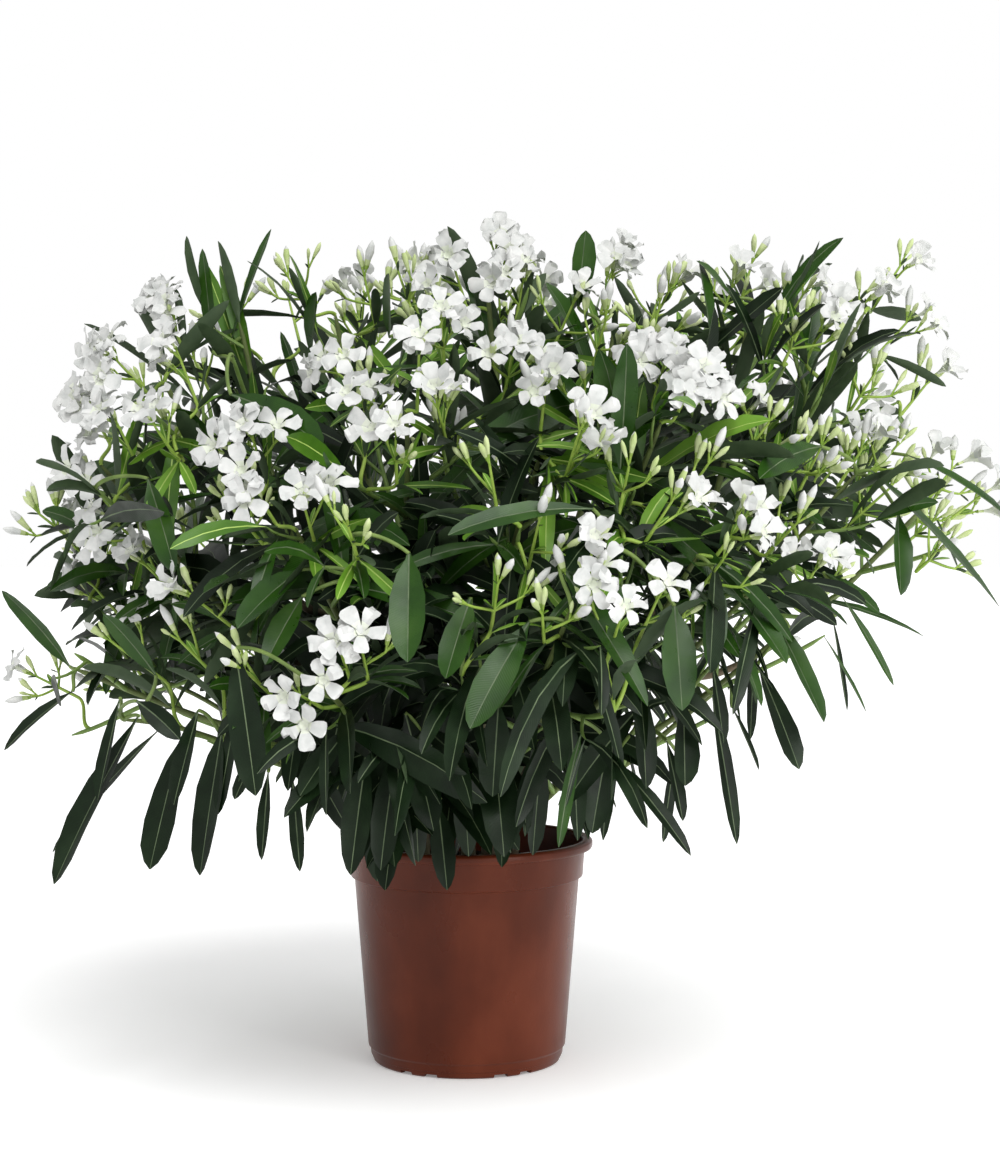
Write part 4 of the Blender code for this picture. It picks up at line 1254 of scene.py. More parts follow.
def flowering_route(truss):
    """The young shoot that carries a truss, and its seat."""
    middle = middle_of(truss)
    level = Vector((middle.x - HEART.x, middle.y - HEART.y, 0.0)).normalized()
    rise = 0.10 + 0.45 * clamped((truss.lift - 6.0) / 26.0)
    way = ((middle - HEART).normalized() * 0.5 + level * 0.25 + UP * rise).normalized()
    end = middle - way * TRUSS_DEPTH
    if truss.flowers > truss.buds // 2:
        face = (way + flower_lean(level, truss.compass)).normalized()
        end = middle - way * HEAD_ABOVE_SHOOT - face * FLOWER_BEFORE_HEAD
    start, limb_way, seat = nearest_support(end, way)
    set_off = (limb_way + (end - start).normalized() * 0.8).normalized()
    points = curved(start, set_off, end, way, FLOWERING_STEPS)
    return Route(points, taper(*FLOWERING_RADII, FLOWERING_STEPS)), seat


flowering_routes, flowering_seats = zip(*[flowering_route(truss) for truss in trusses])
lengths = [route.length() for route in flowering_routes]
print("flowering shoots:", round(min(lengths), 3), "to", round(max(lengths), 3), "m long")

# %% [markdown]
# ## Whorls of leaves
# Oleander leaves stand in threes round the shoot, and each whorl is turned by a sixth of a turn
# from the one below. Young leaves at a tip are short, bright and steep. Further down they
# lengthen, darken, open out and sag. In the shaded skirt they hang. There are four greens. Age
# decides part of a leaf's green, and its place paints light and shade: leaves low in the crown,
# inside it and on hanging shoots mostly take the deepest green as painted shade, and at the upper
# right more leaves are young and bright as painted light.

# %% The green of a leaf
SHADE_DEEP, DARK, GREEN, YOUNG = range(4)
# Heights and sides where the leaves' greens paint shade and light.
LEAST_LIT = 0.56
ALL_SHADE_DEEP_BELOW = 0.45
LIT_RIGHT_OF, LIT_ABOVE, SHADED_BELOW = 0.12, 0.52, 0.62
LIT_RIGHT, SHADED, SHADED_LEFT = 0.42, -0.14, -0.26


def tone_of(shoot, place, age, draw):
    """Which green a leaf has: age runs from 0 at the tip to 1 at the spray's foot, and the place paints
    light and shade.
    """
    # Painted shade: low leaves, and leaves on hanging and inner shoots, mostly take the deepest green.
    if place.z < LEAST_LIT and draw.random() < 0.9 - 3.0 * max(0.0, place.z - 0.42):
        return SHADE_DEEP if place.z < ALL_SHADE_DEEP_BELOW or draw.random() < 0.6 else DARK
    if shoot.droop > HANGING or shoot.name.startswith("inner"):
        return SHADE_DEEP if draw.random() < 0.9 else DARK
    # Painted light and shade: at the upper right more leaves are young or green, and low down, most of
    # all at the left, fewer.
    lit = 0.0
    if place.x > LIT_RIGHT_OF and place.z > LIT_ABOVE:
        lit = LIT_RIGHT
    elif place.z < SHADED_BELOW:
        lit = SHADED_LEFT if place.x < 0.0 else SHADED
    if age < 0.4 and shoot.droop < 0.4 and draw.random() < 0.26 + lit:
        return YOUNG
    if age < 0.6 and draw.random() < 0.45 + lit:
        return GREEN
    # Painted shade: leaves on drooping shoots more often take the deepest green.
    return DARK if draw.random() < 0.66 - 0.9 * shoot.droop else SHADE_DEEP


# %% [markdown]
# Each leaf is first only a record of where and how it grows. Leaves stand steeper towards the
# crown's top. In the open right foot they are slim and limp, and where the crown is airy some
# of them are left out and the others are slimmer.

# %% Leaf records
WHORL_LEAVES = 3
WHORL_SPACING = (0.046, 0.042, 0.036)
ORDER_LENGTH = (0.156, 0.146, 0.116)
HANGING_SPACING = 1.6
HANGING_GROWTH = 0.28
SLIM_LIT, SLIM_SHADED, SLIM_RIGHT = 0.140, 0.176, 0.58
LONGEST_LEAF, WIDEST_LEAF = 0.200, 0.034
STEEP_FROM, STEEP_OVER, STEEPER = 0.52, 0.12, 25.0
BARE_TIP, LEAST_BARE_TIP = 0.034, 0.008
LEFT_OUT_SHADED, LEFT_OUT_RIGHT = 0.25, 0.45
LIMP_SLIMMER, AIRY_SLIMMER, LIMP_DROOP = 0.40, 0.18, 0.55
LEAF_FIELDS = "root axis side length width opening droop curl twist tone seat"
Leaf = namedtuple("Leaf", LEAF_FIELDS, defaults=(None,))


def leaves_on(number, spray, draw):
    """The leaves of one spray, whorl by whorl from its foot to its tip."""
    shoot, route = spray.shoot, spray.route
    bare = BARE_TIP if shoot.droop < 0.4 and spray.order < 2 else LEAST_BARE_TIP
    leafy = route.length() * (1.0 - spray.first) - bare
    spacing = WHORL_SPACING[spray.order] * (HANGING_SPACING if shoot.droop > HANGING else 1.0)
    whorls = max(2, round(leafy / spacing))
    stop = spray.first + leafy / route.length()
    roll = draw.uniform(0.0, 120.0)
    slim = SLIM_LIT + (SLIM_SHADED - SLIM_LIT) * min(1.0, 2.0 * shoot.droop)
    left_out = LEFT_OUT_SHADED if shoot.droop > 0.4 else 0.0
    if 50 <= shoot.compass <= 125 and shoot.lift < 35:
        slim *= SLIM_RIGHT
        left_out = LEFT_OUT_RIGHT
    leaves = []
    for w in range(whorls):
        age = 1.0 - w / (whorls - 1)
        share = spray.first + (stop - spray.first) * (w + 0.35) / (whorls - 0.3)
        point, way, _ = route.at(share)
        grown = ORDER_LENGTH[spray.order] * (0.66 + 0.38 * min(1.0, age * 1.7))
        grown *= 1.0 + HANGING_GROWTH * max(0.0, shoot.droop - 0.2)
        limp = low_right(point)
        airy = missing_share(point) > 0.15 and point.z > 0.50
        steeper = STEEPER * clamped((point.z - STEEP_FROM) / STEEP_OVER)
        slimmer = 1.0 - LIMP_SLIMMER * limp - AIRY_SLIMMER * airy
        for k in range(WHORL_LEAVES):
            if draw.random() < max(left_out, 0.5 * limp, missing_share(point)):
                continue
            length = min(LONGEST_LEAF, grown * draw.uniform(0.74, 1.24))
            width = length * slim * slimmer * draw.uniform(0.80, 1.22)
            leaves.append(Leaf(
                root=point,
                axis=way,
                side=turned_side(way, roll + 60.0 * w + 120.0 * k + draw.uniform(-22, 22)),
                length=length,
                width=min(WIDEST_LEAF, width),
                opening=19.0 + 36.0 * age + 16.0 * shoot.droop - steeper + draw.uniform(-13, 13),
                droop=max(0.0, shoot.droop * draw.uniform(0.45, 1.35) + draw.uniform(-0.08, 0.14))
                + LIMP_DROOP * limp,
                curl=draw.uniform(-0.25, 0.45),
                twist=draw.uniform(-45, 45),
                tone=tone_of(shoot, point, age, draw),
                seat=(number, share),
            ))
    return leaves


leaf_records = {}
for number, spray in enumerate(sprays):
    draw = random.Random(1000 + number)
    part = spray.shoot.name.split("_")[0]
    leaf_records.setdefault(part, []).extend(leaves_on(number, spray, draw))
print("leaves planned:", {part: len(leaves) for part, leaves in leaf_records.items()})

# %% [markdown]
# ## The leaf
# A leaf is long and narrow, leathery, dark above and greyer below, with one pale rib. The
# pattern is five points in section: two margins, the two edges of the rib, and the keel under
# it. Eight such sections bridged together make a closed leaf, whose rib is real geometry with
# its own colour, so it stays sharp at any distance. A bent blade isn't flat, so its faces are
# split into triangles, which makes 65 faces in all. Both sides of a blade are split from the
# same margin corners, or the underside would show through the upper side.

# %% Leaf pattern
LEAF_ROWS = np.array([0.0, 0.06, 0.20, 0.42, 0.65, 0.84, 0.95, 1.0])
LEAF_OUTLINE = np.array([0.10, 0.18, 0.62, 0.96, 1.00, 0.79, 0.41, 0.04])
LEAF_VARIETY = 0.20
MARGINS = (0, 3)
LEAF_SECTION = ((-1, 0), (-0.1, 0), (0.1, 0), (1, 0), (0, -1))
RIB_HALF_WIDTH = (0.00078, 0.00022)
LEAF_THICKNESS = 0.0009
LEAF_FOLD = 0.34
LEAF_WAVE = 0.07


def ring_pattern(section, rows):
    """Rings of one section, one at each row along Y, bridged and capped."""
    bm = bmesh.new()
    rings = []
    for y in rows:
        ring = [bm.verts.new((x, y, z)) for x, z in section]
        for a, b in zip(ring, ring[1:] + ring[:1]):
            bm.edges.new((a, b))
        rings.append(ring)
    bmesh.ops.bridge_loops(bm, edges=bm.edges)
    bm.faces.new(rings[0])
    bm.faces.new(rings[-1])
    return pattern_of(bm)


def row_of(face, lanes):
    return min(index // lanes for index in face)


def split_from_margin(faces, lanes, margins):
    """Four-cornered faces that touch a margin become two triangles each, from its lower corner."""
    split = []
    for face in faces:
        corners = [index for index in face if index % lanes in margins]
        if len(face) != 4 or len(corners) != 2:
            split.append(face)
            continue
        first = face.index(min(corners))
        a, b, c, d = face[first:] + face[:first]
        split += [(a, b, c), (a, c, d)]
    return split


def strip_of(face, lanes):
    """The strip a face or one of its halves belongs to: a pair of neighbouring lanes, or None."""
    used = tuple(sorted({index % lanes for index in face}))
    return used if len(used) == 2 else None


leaf_points, whole_faces = ring_pattern(LEAF_SECTION, LEAF_ROWS)
leaf_faces = split_from_margin(whole_faces, len(LEAF_SECTION), MARGINS)
leaf_strips = [strip_of(face, len(LEAF_SECTION)) for face in leaf_faces]
print("leaf pattern:", len(leaf_points), "points,", len(leaf_faces), "faces")

# %% [markdown]
# All the leaves of a part of the crown are bent together. A leaf sets off from its shoot at its
# opening angle with its upper side to the shoot, turns a little to the light, and then bends
# under its own weight: a limp one at once, a firm one only towards its tip.

# %% Bend the leaves
LIGHT_SEEKING = 0.45


def column(records, name):
    """One field of all the records as an array, with a row of three numbers for a vector."""
    values = [getattr(record, name) for record in records]
    return np.array([value[:] if isinstance(value, Vector) else value for value in values])


def columns(records, *names):
    """The named fields of records, each as an array."""
    return [column(records, name) for name in names]


def leaf_lines(leaves, shorten):
    """Centre lines, side and face directions of the leaves at a share of their length."""
    root, axis, side = columns(leaves, "root", "axis", "side")
    length, opening, droop, curl, twist = columns(leaves, "length", "opening", "droop", "curl", "twist")
    angle = np.radians(opening)[:, None]
    start = axis * np.cos(angle) + side * np.sin(angle)
    face = axis * np.sin(angle) - side * np.cos(angle)
    out = unit(root * np.array([1.0, 1.0, 0.0]))
    face = face + LIGHT_SEEKING * (np.array([0.0, 0.0, 0.8]) + 0.5 * out)
    u = LEAF_ROWS[None, :, None]
    at_once = (0.22 * droop + 0.9 * np.maximum(droop - 0.5, 0.0))[:, None, None]
    further_on = (0.22 + 1.55 * droop[:, None, None]) * u**1.2
    ways = start[:, None] + side[:, None] * curl[:, None, None] * u
    ways = unit(ways - np.array([0.0, 0.0, 1.0]) * (at_once + further_on))
    steps = np.diff(LEAF_ROWS)[None] * (length * shorten)[:, None]
    lines = centres_from(root, ways, steps)
    sides, faces = carried(ways, face)
    turn = np.radians(twist)[:, None, None] * u
    return lines, *turned_about(sides, faces, turn)


# %% [markdown]
# A leaf that would leave the crown's outline or cover a truss is shortened, or left out where
# that isn't enough. A note is kept of how far up each spray something grows, so that no bare
# end of a twig is drawn later.

# %% Keep the leaves inside the crown
SHORTER = (1.0, 0.86, 0.72)
LEAST_DRAWN = (0.74, 0.52, 0.0)
TRUSS_CLEARANCE = 0.040
TRUSS_VIEW = 0.080
SIGHTS_FROM = np.array([HEART.x, HEART.y, HEART.z * 1.4])
last_seat = {number: spray.first + (1.0 - spray.first) * LEAST_DRAWN[spray.order]
             for number, spray in enumerate(sprays)}
truss_middles = np.array([middle_of(truss)[:] for truss in trusses])
truss_sights = unit(truss_middles - SIGHTS_FROM)


def clear_of_trusses(lines, clearance):
    """True for each leaf whose outer half keeps clear of every truss and of what lies before it."""
    points = lines[:, 3:].reshape(-1, 1, 3)
    gap = points - truss_middles[None]
    ahead = np.clip(np.sum(gap * truss_sights[None], axis=2), 0.0, TRUSS_VIEW)
    distance = np.linalg.norm(gap - truss_sights[None] * ahead[..., None], axis=2)
    near = distance < clearance
    return ~near.any(axis=1).reshape(len(lines), -1).any(axis=1)


def note_seats(seats):
    """Remembers how far up each spray something grows, so that no bare end is drawn."""
    for number, share in seats:
        last_seat[number] = max(last_seat[number], share)


def fitted_leaves(leaves, clearance):
    """The leaves that stay inside the crown, with the share of its length that each keeps."""
    keep = np.zeros(len(leaves))
    for shorten in SHORTER:
        lines, _, _ = leaf_lines(leaves, np.full(len(leaves), shorten))
        fits = in_crown(lines[:, -1]) & in_crown(lines[:, 5])
        fits &= above_open_foot(lines[:, -1]) & above_open_foot(lines[:, 3])
        fits &= clear_of_trusses(lines, clearance) & (keep == 0)
        keep[fits] = shorten
    return [leaf for leaf, share in zip(leaves, keep) if share > 0], keep[keep > 0]


# %% [markdown]
# The two blades fold up from the rib and wave slightly. Each point of the pattern is set off
# sideways and upwards from its leaf's centre line, which gives every leaf its own breadth, fold
# and thickness.

# %% Join the leaves
def beside_lines(lines, sides, faces, offsets):
    """Pattern points beside many centre lines, at (sideways, upwards) offsets from them."""
    copies = lines[:, :, None] + sides[:, :, None] * offsets[..., 0:1]
    copies = copies + faces[:, :, None] * offsets[..., 1:2]
    return copies.reshape(len(lines), -1, 3)


def leaf_offsets(width, shorten, draw):
    """How far each pattern point stands beside and above its leaf's centre line."""
    number, lanes, rows = len(width), len(LEAF_SECTION), len(LEAF_ROWS)
    variety = LEAF_VARIETY * draw.uniform(-1, 1, (number, 1))
    broadest = 1.0 + variety * (2.0 * LEAF_ROWS[None] - 1.1)
    half = width[:, None] * 0.5 * LEAF_OUTLINE[None] * broadest * np.sqrt(shorten)[:, None]
    rib = np.minimum(np.linspace(*RIB_HALF_WIDTH, rows)[None], half * 0.6)
    wave = draw.uniform(0.0, math.tau, (number, 2, 1)) + LEAF_ROWS[None, None] * 9.0
    fold = LEAF_FOLD * draw.uniform(0.3, 1.5, (number, 1))
    lift = half[:, None] * (fold[:, None] + LEAF_WAVE * np.sin(wave))
    thick = LEAF_THICKNESS * np.minimum(1.0, 0.35 + LEAF_OUTLINE[None] * 0.65)
    thick = np.minimum(thick, half * 0.5 + 0.0002)
    offsets = np.zeros((number, rows, lanes, 2))
    offsets[:, :, 0] = np.stack((-half, lift[:, 0]), axis=-1)
    offsets[:, :, 1, 0] = -rib
    offsets[:, :, 2, 0] = rib
    offsets[:, :, 3] = np.stack((half, lift[:, 1]), axis=-1)
    offsets[:, :, 4, 1] = -thick
    return offsets


def leaf_mesh(name, leaves, seed, limit=True, clearance=TRUSS_CLEARANCE):
    """All the leaves of one part of the crown as one mesh."""
    shorten = np.ones(len(leaves))
    if limit:
        leaves, shorten = fitted_leaves(leaves, clearance)
    note_seats(leaf.seat for leaf in leaves if leaf.seat)
    width, tone = columns(leaves, "width", "tone")
    offsets = leaf_offsets(width, shorten, np.random.default_rng(seed))
    copies = beside_lines(*leaf_lines(leaves, shorten), offsets)
    return joined(name, copies, leaf_faces, leaf_tones(tone), leaf_map())


# %% [markdown]
# ## Leaf finishes
# Old leaves are a deep, slightly bluish green with a wax sheen. The newest are yellow-green and
# thinner. Each leaf takes one of four greens by its place and age, and the ribs and undersides
# have theirs. The deepest green is darker than the leaves' own colour and is painted shade for
# the skirt and the crown's inside. The fine side veins run off the rib at a steep angle, as a low
# relief on the leaf's own map, mirrored at the rib.

# %% Leaf finishes
LEAF_GREENS = {
    # The first green is painted shade, darker than any leaf's own colour; the others run from old to
    # young.
    SHADE_DEEP: ((0.0020, 0.0068, 0.0017), (0.0050, 0.0135, 0.0039), (0.0130, 0.0285, 0.0098)),
    DARK: ((0.0092, 0.0345, 0.0030), (0.0180, 0.0580, 0.0050), (0.0340, 0.0830, 0.0110)),
    GREEN: ((0.0310, 0.0960, 0.0060), (0.0550, 0.1420, 0.0105), (0.0850, 0.1850, 0.0190)),
    YOUNG: ((0.0760, 0.1850, 0.0120), (0.1200, 0.2600, 0.0215), (0.1850, 0.3500, 0.0450)),
}
LEAF_GLOSS = {SHADE_DEEP: (0.37, 0.18), DARK: (0.31, 0.25), GREEN: (0.33, 0.27), YOUNG: (0.40, 0.30)}
UNDERSIDE, RIB_OLD, RIB_YOUNG = 4, 5, 6
VEINS_ALONG = 44.0
VEIN_SLANT = 5.0


def side_veins(material):
    """Waves on the leaf's map that slant back from the rib on both sides, as a grey source."""
    tree = material.node_tree
    leaf_place = tree.nodes.new("ShaderNodeUVMap")
    leaf_place.uv_map = "surface_map"
    parts = tree.nodes.new("ShaderNodeSeparateXYZ")
    tree.links.new(leaf_place.outputs["UV"], parts.inputs["Vector"])
    slant = tree.nodes.new("ShaderNodeMath")
    slant.operation = "MULTIPLY"
    slant.inputs[1].default_value = -math.tau * VEIN_SLANT
    tree.links.new(parts.outputs["Y"], slant.inputs[0])
    phase = tree.nodes.new("ShaderNodeMath")
    phase.operation = "MULTIPLY_ADD"
    phase.inputs[1].default_value = math.tau * VEINS_ALONG
    tree.links.new(parts.outputs["X"], phase.inputs[0])
    tree.links.new(slant.outputs[0], phase.inputs[2])
    waves = tree.nodes.new("ShaderNodeMath")
    waves.operation = "SINE"
    tree.links.new(phase.outputs[0], waves.inputs[0])
    return waves.outputs[0]


def blade_finish(name, tone):
    """One of the greens: cloudy colour, satin gloss and slanting veins."""
    greens = LEAF_GREENS[tone]
    gloss, shine = LEAF_GLOSS[tone]
    blade = principled(name, greens[1], gloss, specular=shine)
    spread(blade, speckle(blade, 24.0, detail=4.0), "Base Color",
           ((0.30, greens[0]), (0.52, greens[1]), (0.78, greens[2])))
    spread(blade, speckle(blade, 60.0), "Roughness", ((0.3, gloss - 0.06), (0.7, gloss + 0.08)))
    relief(blade, side_veins(blade), 0.00005, strength=0.4)
    return blade


# %% [markdown]
# Ribs, stalks and undersides need less: two close tints and a very fine grain.

# %% Finishes for ribs, stalks and undersides
def plain_finish(name, low, high, roughness):
    """A soft two-tone finish for ribs, stalks and undersides."""
    soft = principled(name, tuple((a + b) / 2 for a, b in zip(low, high)), roughness, specular=0.3)
    spread(soft, speckle(soft, 70.0), "Base Color", ((0.35, low), (0.68, high)))
    relief(soft, speckle(soft, 900.0, detail=2.0), 0.00008, strength=0.5)
    return soft


def leaf_finishes():
    return [
        blade_finish("leaf_deep", SHADE_DEEP),
        blade_finish("leaf_dark", DARK),
        blade_finish("leaf_green", GREEN),
        blade_finish("leaf_young", YOUNG),
        plain_finish("leaf_underside", (0.030, 0.054, 0.022), (0.044, 0.072, 0.031), 0.62),
        plain_finish("leaf_rib", (0.058, 0.088, 0.041), (0.118, 0.158, 0.083), 0.50),
        plain_finish("leaf_rib_young", (0.300, 0.440, 0.090), (0.410, 0.550, 0.150), 0.48),
    ]


# %% [markdown]
# A face's strip says where on the leaf it is. The two blades take the leaf's green, the strip
# between them is the rib, and everything else is underside. The leaves of each part of the
# crown become one piece, which stands for that part's coarse solids.

# %% Leaves of each part of the crown
LEAF_SHARP = 62.0


def leaf_tones(tone):
    """A material number for each face of each leaf, from its strip and the leaf's tone."""
    tones = np.zeros((len(tone), len(leaf_faces)), dtype=int)
    for f, strip in enumerate(leaf_strips):
        if strip in ((0, 1), (2, 3)):
            tones[:, f] = tone
        elif strip == (1, 2):
            tones[:, f] = np.where(tone >= GREEN, RIB_YOUNG, RIB_OLD)
        else:
            tones[:, f] = UNDERSIDE
    return tones


def leaf_map():
    """Each pattern point's place on the leaf: share along it, and distance from the rib."""
    return np.stack((leaf_points[:, 1], np.abs(leaf_points[:, 0])), axis=1)


LEAF_FINISHES = leaf_finishes()
for seed, (part, leaves) in enumerate(leaf_records.items()):
    nodes = ["foliage_" + shoot.name for shoot in SHOOTS if shoot.name.split("_")[0] == part]
    place_piece(leaf_mesh("leaves_" + part, leaves, seed), LEAF_FINISHES, nodes, LEAF_SHARP)

# %% [markdown]
# The young leaves stand in whorls of three on the flowering shoots, close under each truss, and
# are the brightest and narrowest of all. Low in the crown they droop a little, and fewer of them
# keep the young green, the rest taking a dark green as painted shade. They are records like the
# others, and share the leaf pattern.

# %% Young leaves under the trusses
YOUNG_LENGTH = 0.086
YOUNG_SLIMNESS = 0.15
YOUNG_WHORL_ROOM = 0.030
YOUNG_WHORL_GAP = 0.028
MOST_YOUNG_WHORLS = 4
STILL_YOUNG, OLDER_BY_WHORL, SHADED_IF_LOW = 0.78, 0.12, 0.64


def young_leaves(route, low, draw):
    """Narrow bright leaves round a flowering shoot, in whorls a few centimetres apart."""
    whorls = max(1, min(MOST_YOUNG_WHORLS, round(route.length() / YOUNG_WHORL_ROOM)))
    # Painted shade: low in the crown, fewer leaves stay young and the others take the dark green.
    older_tone_shaded_low = DARK if low else GREEN
    leaves = []
    for w in range(whorls):
        still_young = STILL_YOUNG - OLDER_BY_WHORL * w - SHADED_IF_LOW * low
        share = 1.0 - YOUNG_WHORL_GAP * (w + 0.35) / max(route.length(), YOUNG_WHORL_ROOM)
        point, way, _ = route.at(max(0.1, share))
        for k in range(WHORL_LEAVES):
            length = YOUNG_LENGTH * (0.72 + 0.22 * w) * draw.uniform(0.75, 1.25)
            leaves.append(Leaf(
                root=point,
                axis=way,
                side=turned_side(way, 60.0 * w + 120.0 * k + draw.uniform(-25, 25)),
                length=length,
                width=length * YOUNG_SLIMNESS * draw.uniform(0.8, 1.2),
                opening=26.0 + 9.0 * w + draw.uniform(-9, 14),
                droop=draw.uniform(0.0, 0.12) + 0.25 * low,
                curl=draw.uniform(-0.2, 0.4),
                twist=draw.uniform(-40, 40),
                tone=YOUNG if draw.random() <= still_young else older_tone_shaded_low,
            ))
    return leaves


young_records = []
for number, (truss, route) in enumerate(zip(trusses, flowering_routes)):
    middle = middle_of(truss)
    # Trusses low in the crown, or low at its sides, get young leaves painted darker as shade.
    low = middle.z < 0.53 or (abs(middle.x) > 0.38 and middle.z < 0.60)
    if missing_share(middle) < BUD_TRUSS_AIR:
        young_records += young_leaves(route, low, random.Random(3000 + number))
print("young leaves:", len(young_records))

# %% [markdown]
# ## The longest leaves
# The crown's outline is drawn by a few long leaves: upright ones at the top, arching ones at
# both sides, hanging ones in the skirt and a few over the pot's rim. Each row names the place of
# a leaf's foot and the place of its tip, both by compass, lift and reach, and the leaf's width.

# %% Longest leaves
LONGEST_LEAVES = (
    (-10, 30, 0.422, -9, 17, 0.423, 0.031), (24, 23, 0.427, 23, 11, 0.430, 0.030),
    (-28, 30, 0.391, -30, 20, 0.442, 0.028), (6, 23, 0.393, -2, 10, 0.406, 0.030),
    (-2, 27, 0.381, -5, 16, 0.397, 0.026), (-49, 49, 0.465, -28, 45, 0.432, 0.030),
    (15, 35, 0.433, -4, 31, 0.445, 0.020), (2, 14, 0.351, 1, 1, 0.360, 0.028),
    (10, 29, 0.416, 19, 12, 0.434, 0.022), (24, 13, 0.337, 11, 0, 0.346, 0.024),
    (34, 27, 0.408, 29, 17, 0.407, 0.024), (-28, 27, 0.379, -29, 17, 0.405, 0.024),
    (-57, 37, 0.457, -49, 28, 0.413, 0.026), (48, 75, 0.455, 43, 75, 0.528, 0.026),
    (-69, 55, 0.483, -70, 60, 0.569, 0.018), (-76, 58, 0.479, -74, 67, 0.561, 0.014),
    (-77, 66, 0.430, -70, 69, 0.488, 0.024), (-58, 75, 0.427, -43, 74, 0.490, 0.022),
    (70, 61, 0.470, 85, 67, 0.536, 0.018), (80, 62, 0.512, 85, 67, 0.534, 0.016),
    (57, 40, 0.473, 41, 37, 0.460, 0.026), (-82, 13, 0.418, -85, 20, 0.499, 0.020),
    (-79, 10, 0.411, -83, 2, 0.472, 0.018), (-75, 30, 0.443, -82, 30, 0.497, 0.016),
    (-56, 15, 0.374, -57, 21, 0.434, 0.022), (-52, 11, 0.402, -46, 7, 0.378, 0.020),
    (-58, 9, 0.377, -61, -11, 0.460, 0.032), (-65, 7, 0.339, -71, -9, 0.438, 0.020),
    (-51, 7, 0.354, -49, -10, 0.403, 0.033), (-42, 9, 0.352, -42, -11, 0.384, 0.030),
    (-34, 3, 0.340, -33, -9, 0.362, 0.013), (-31, 2, 0.328, -28, -11, 0.348, 0.014),
    (-19, 6, 0.319, -20, -11, 0.348, 0.026), (-32, 18, 0.421, -28, 1, 0.408, 0.030),
    (-33, 7, 0.359, -34, 0, 0.387, 0.014), (-20, 10, 0.346, -25, 1, 0.376, 0.022),
    (66, 36, 0.481, 72, 18, 0.529, 0.024), (84, 36, 0.508, 83, 26, 0.560, 0.014),
    (70, 31, 0.476, 65, 22, 0.453, 0.024), (54, 27, 0.421, 53, 20, 0.463, 0.015),
    (58, 24, 0.416, 57, 12, 0.447, 0.009), (62, 26, 0.376, 71, 17, 0.449, 0.009),
    (66, 21, 0.371, 66, 9, 0.393, 0.007), (73, 23, 0.373, 71, 9, 0.366, 0.007),
    (49, 25, 0.373, 47, 9, 0.414, 0.022), (48, 18, 0.347, 47, 3, 0.383, 0.023),
    (54, 23, 0.331, 50, 7, 0.316, 0.012), (43, 15, 0.310, 41, -8, 0.346, 0.015),
    (24, 5, 0.286, 31, -8, 0.354, 0.015), (63, 13, 0.267, 61, 1, 0.293, 0.009),
    (40, 20, 0.335, 39, 7, 0.339, 0.014), (34, 8, 0.292, 34, -5, 0.316, 0.013),
    (41, 6, 0.265, 36, -11, 0.276, 0.012), (26, 16, 0.324, 25, 1, 0.332, 0.022),
    (34, 14, 0.323, 32, 1, 0.331, 0.024), (21, 8, 0.303, 17, -6, 0.316, 0.022),
    (38, 26, 0.397, 39, 16, 0.430, 0.022), (90, 29, 0.504, 90, 22, 0.505, 0.010),
    (-5, 7, 0.202, -6, -26, 0.168, 0.022), (4, 9, 0.203, 6, -26, 0.168, 0.022),
    (14, 8, 0.208, 16, -25, 0.172, 0.020), (-15, 4, 0.249, -17, -19, 0.221, 0.024),
    (-22, 0, 0.269, -24, -20, 0.255, 0.024), (-47, 11, 0.357, -47, -2, 0.380, 0.020),
    (-59, 11, 0.395, -58, -2, 0.415, 0.018), (-40, 12, 0.349, -40, -3, 0.367, 0.018),
    (-24, 13, 0.337, -24, -1, 0.349, 0.022), (-28, 14, 0.350, -28, 1, 0.363, 0.020),
    (-13, 13, 0.316, -7, -4, 0.344, 0.030), (-18, -2, 0.253, -19, -18, 0.290, 0.024),
    (-11, -5, 0.225, -8, -21, 0.259, 0.022),
)
print("rows of long leaves:", len(LONGEST_LEAVES))

# %% [markdown]
# A long leaf sits on the nearest limb. Where none passes close to its foot, a thin twig is grown
# to it first, so no leaf floats. The hanging ones take the deepest green, as painted shade.

# %% Grow the longest leaves
LEAF_TWIG_FROM = 0.010
LONG_LEAF_RISE = 0.28
LONG_LEAF_DROOP = 0.20
LONG_LEAF_SLACK = 0.05
HANGING_UNDER = 0.06
leaf_twigs = []


def leaf_foot(foot, tip):
    """Where a long leaf sits: on the nearest limb, or at the end of a thin twig from it."""
    gap = np.linalg.norm(support_points - np.array(foot[:])[None], axis=1)
    point, way, seat = supports[int(np.argmin(gap))]
    if gap.min() < LEAF_TWIG_FROM:
        return point, seat
    set_off = (way + (foot - point).normalized() * 1.2).normalized()
    arrive = ((foot - point).normalized() + (tip - foot).normalized() * 0.5).normalized()
    points = curved(point, set_off, foot, arrive, FLOWERING_STEPS)
    leaf_twigs.append(Route(points, taper(*FLOWERING_RADII, FLOWERING_STEPS)))
    return points[-1], seat


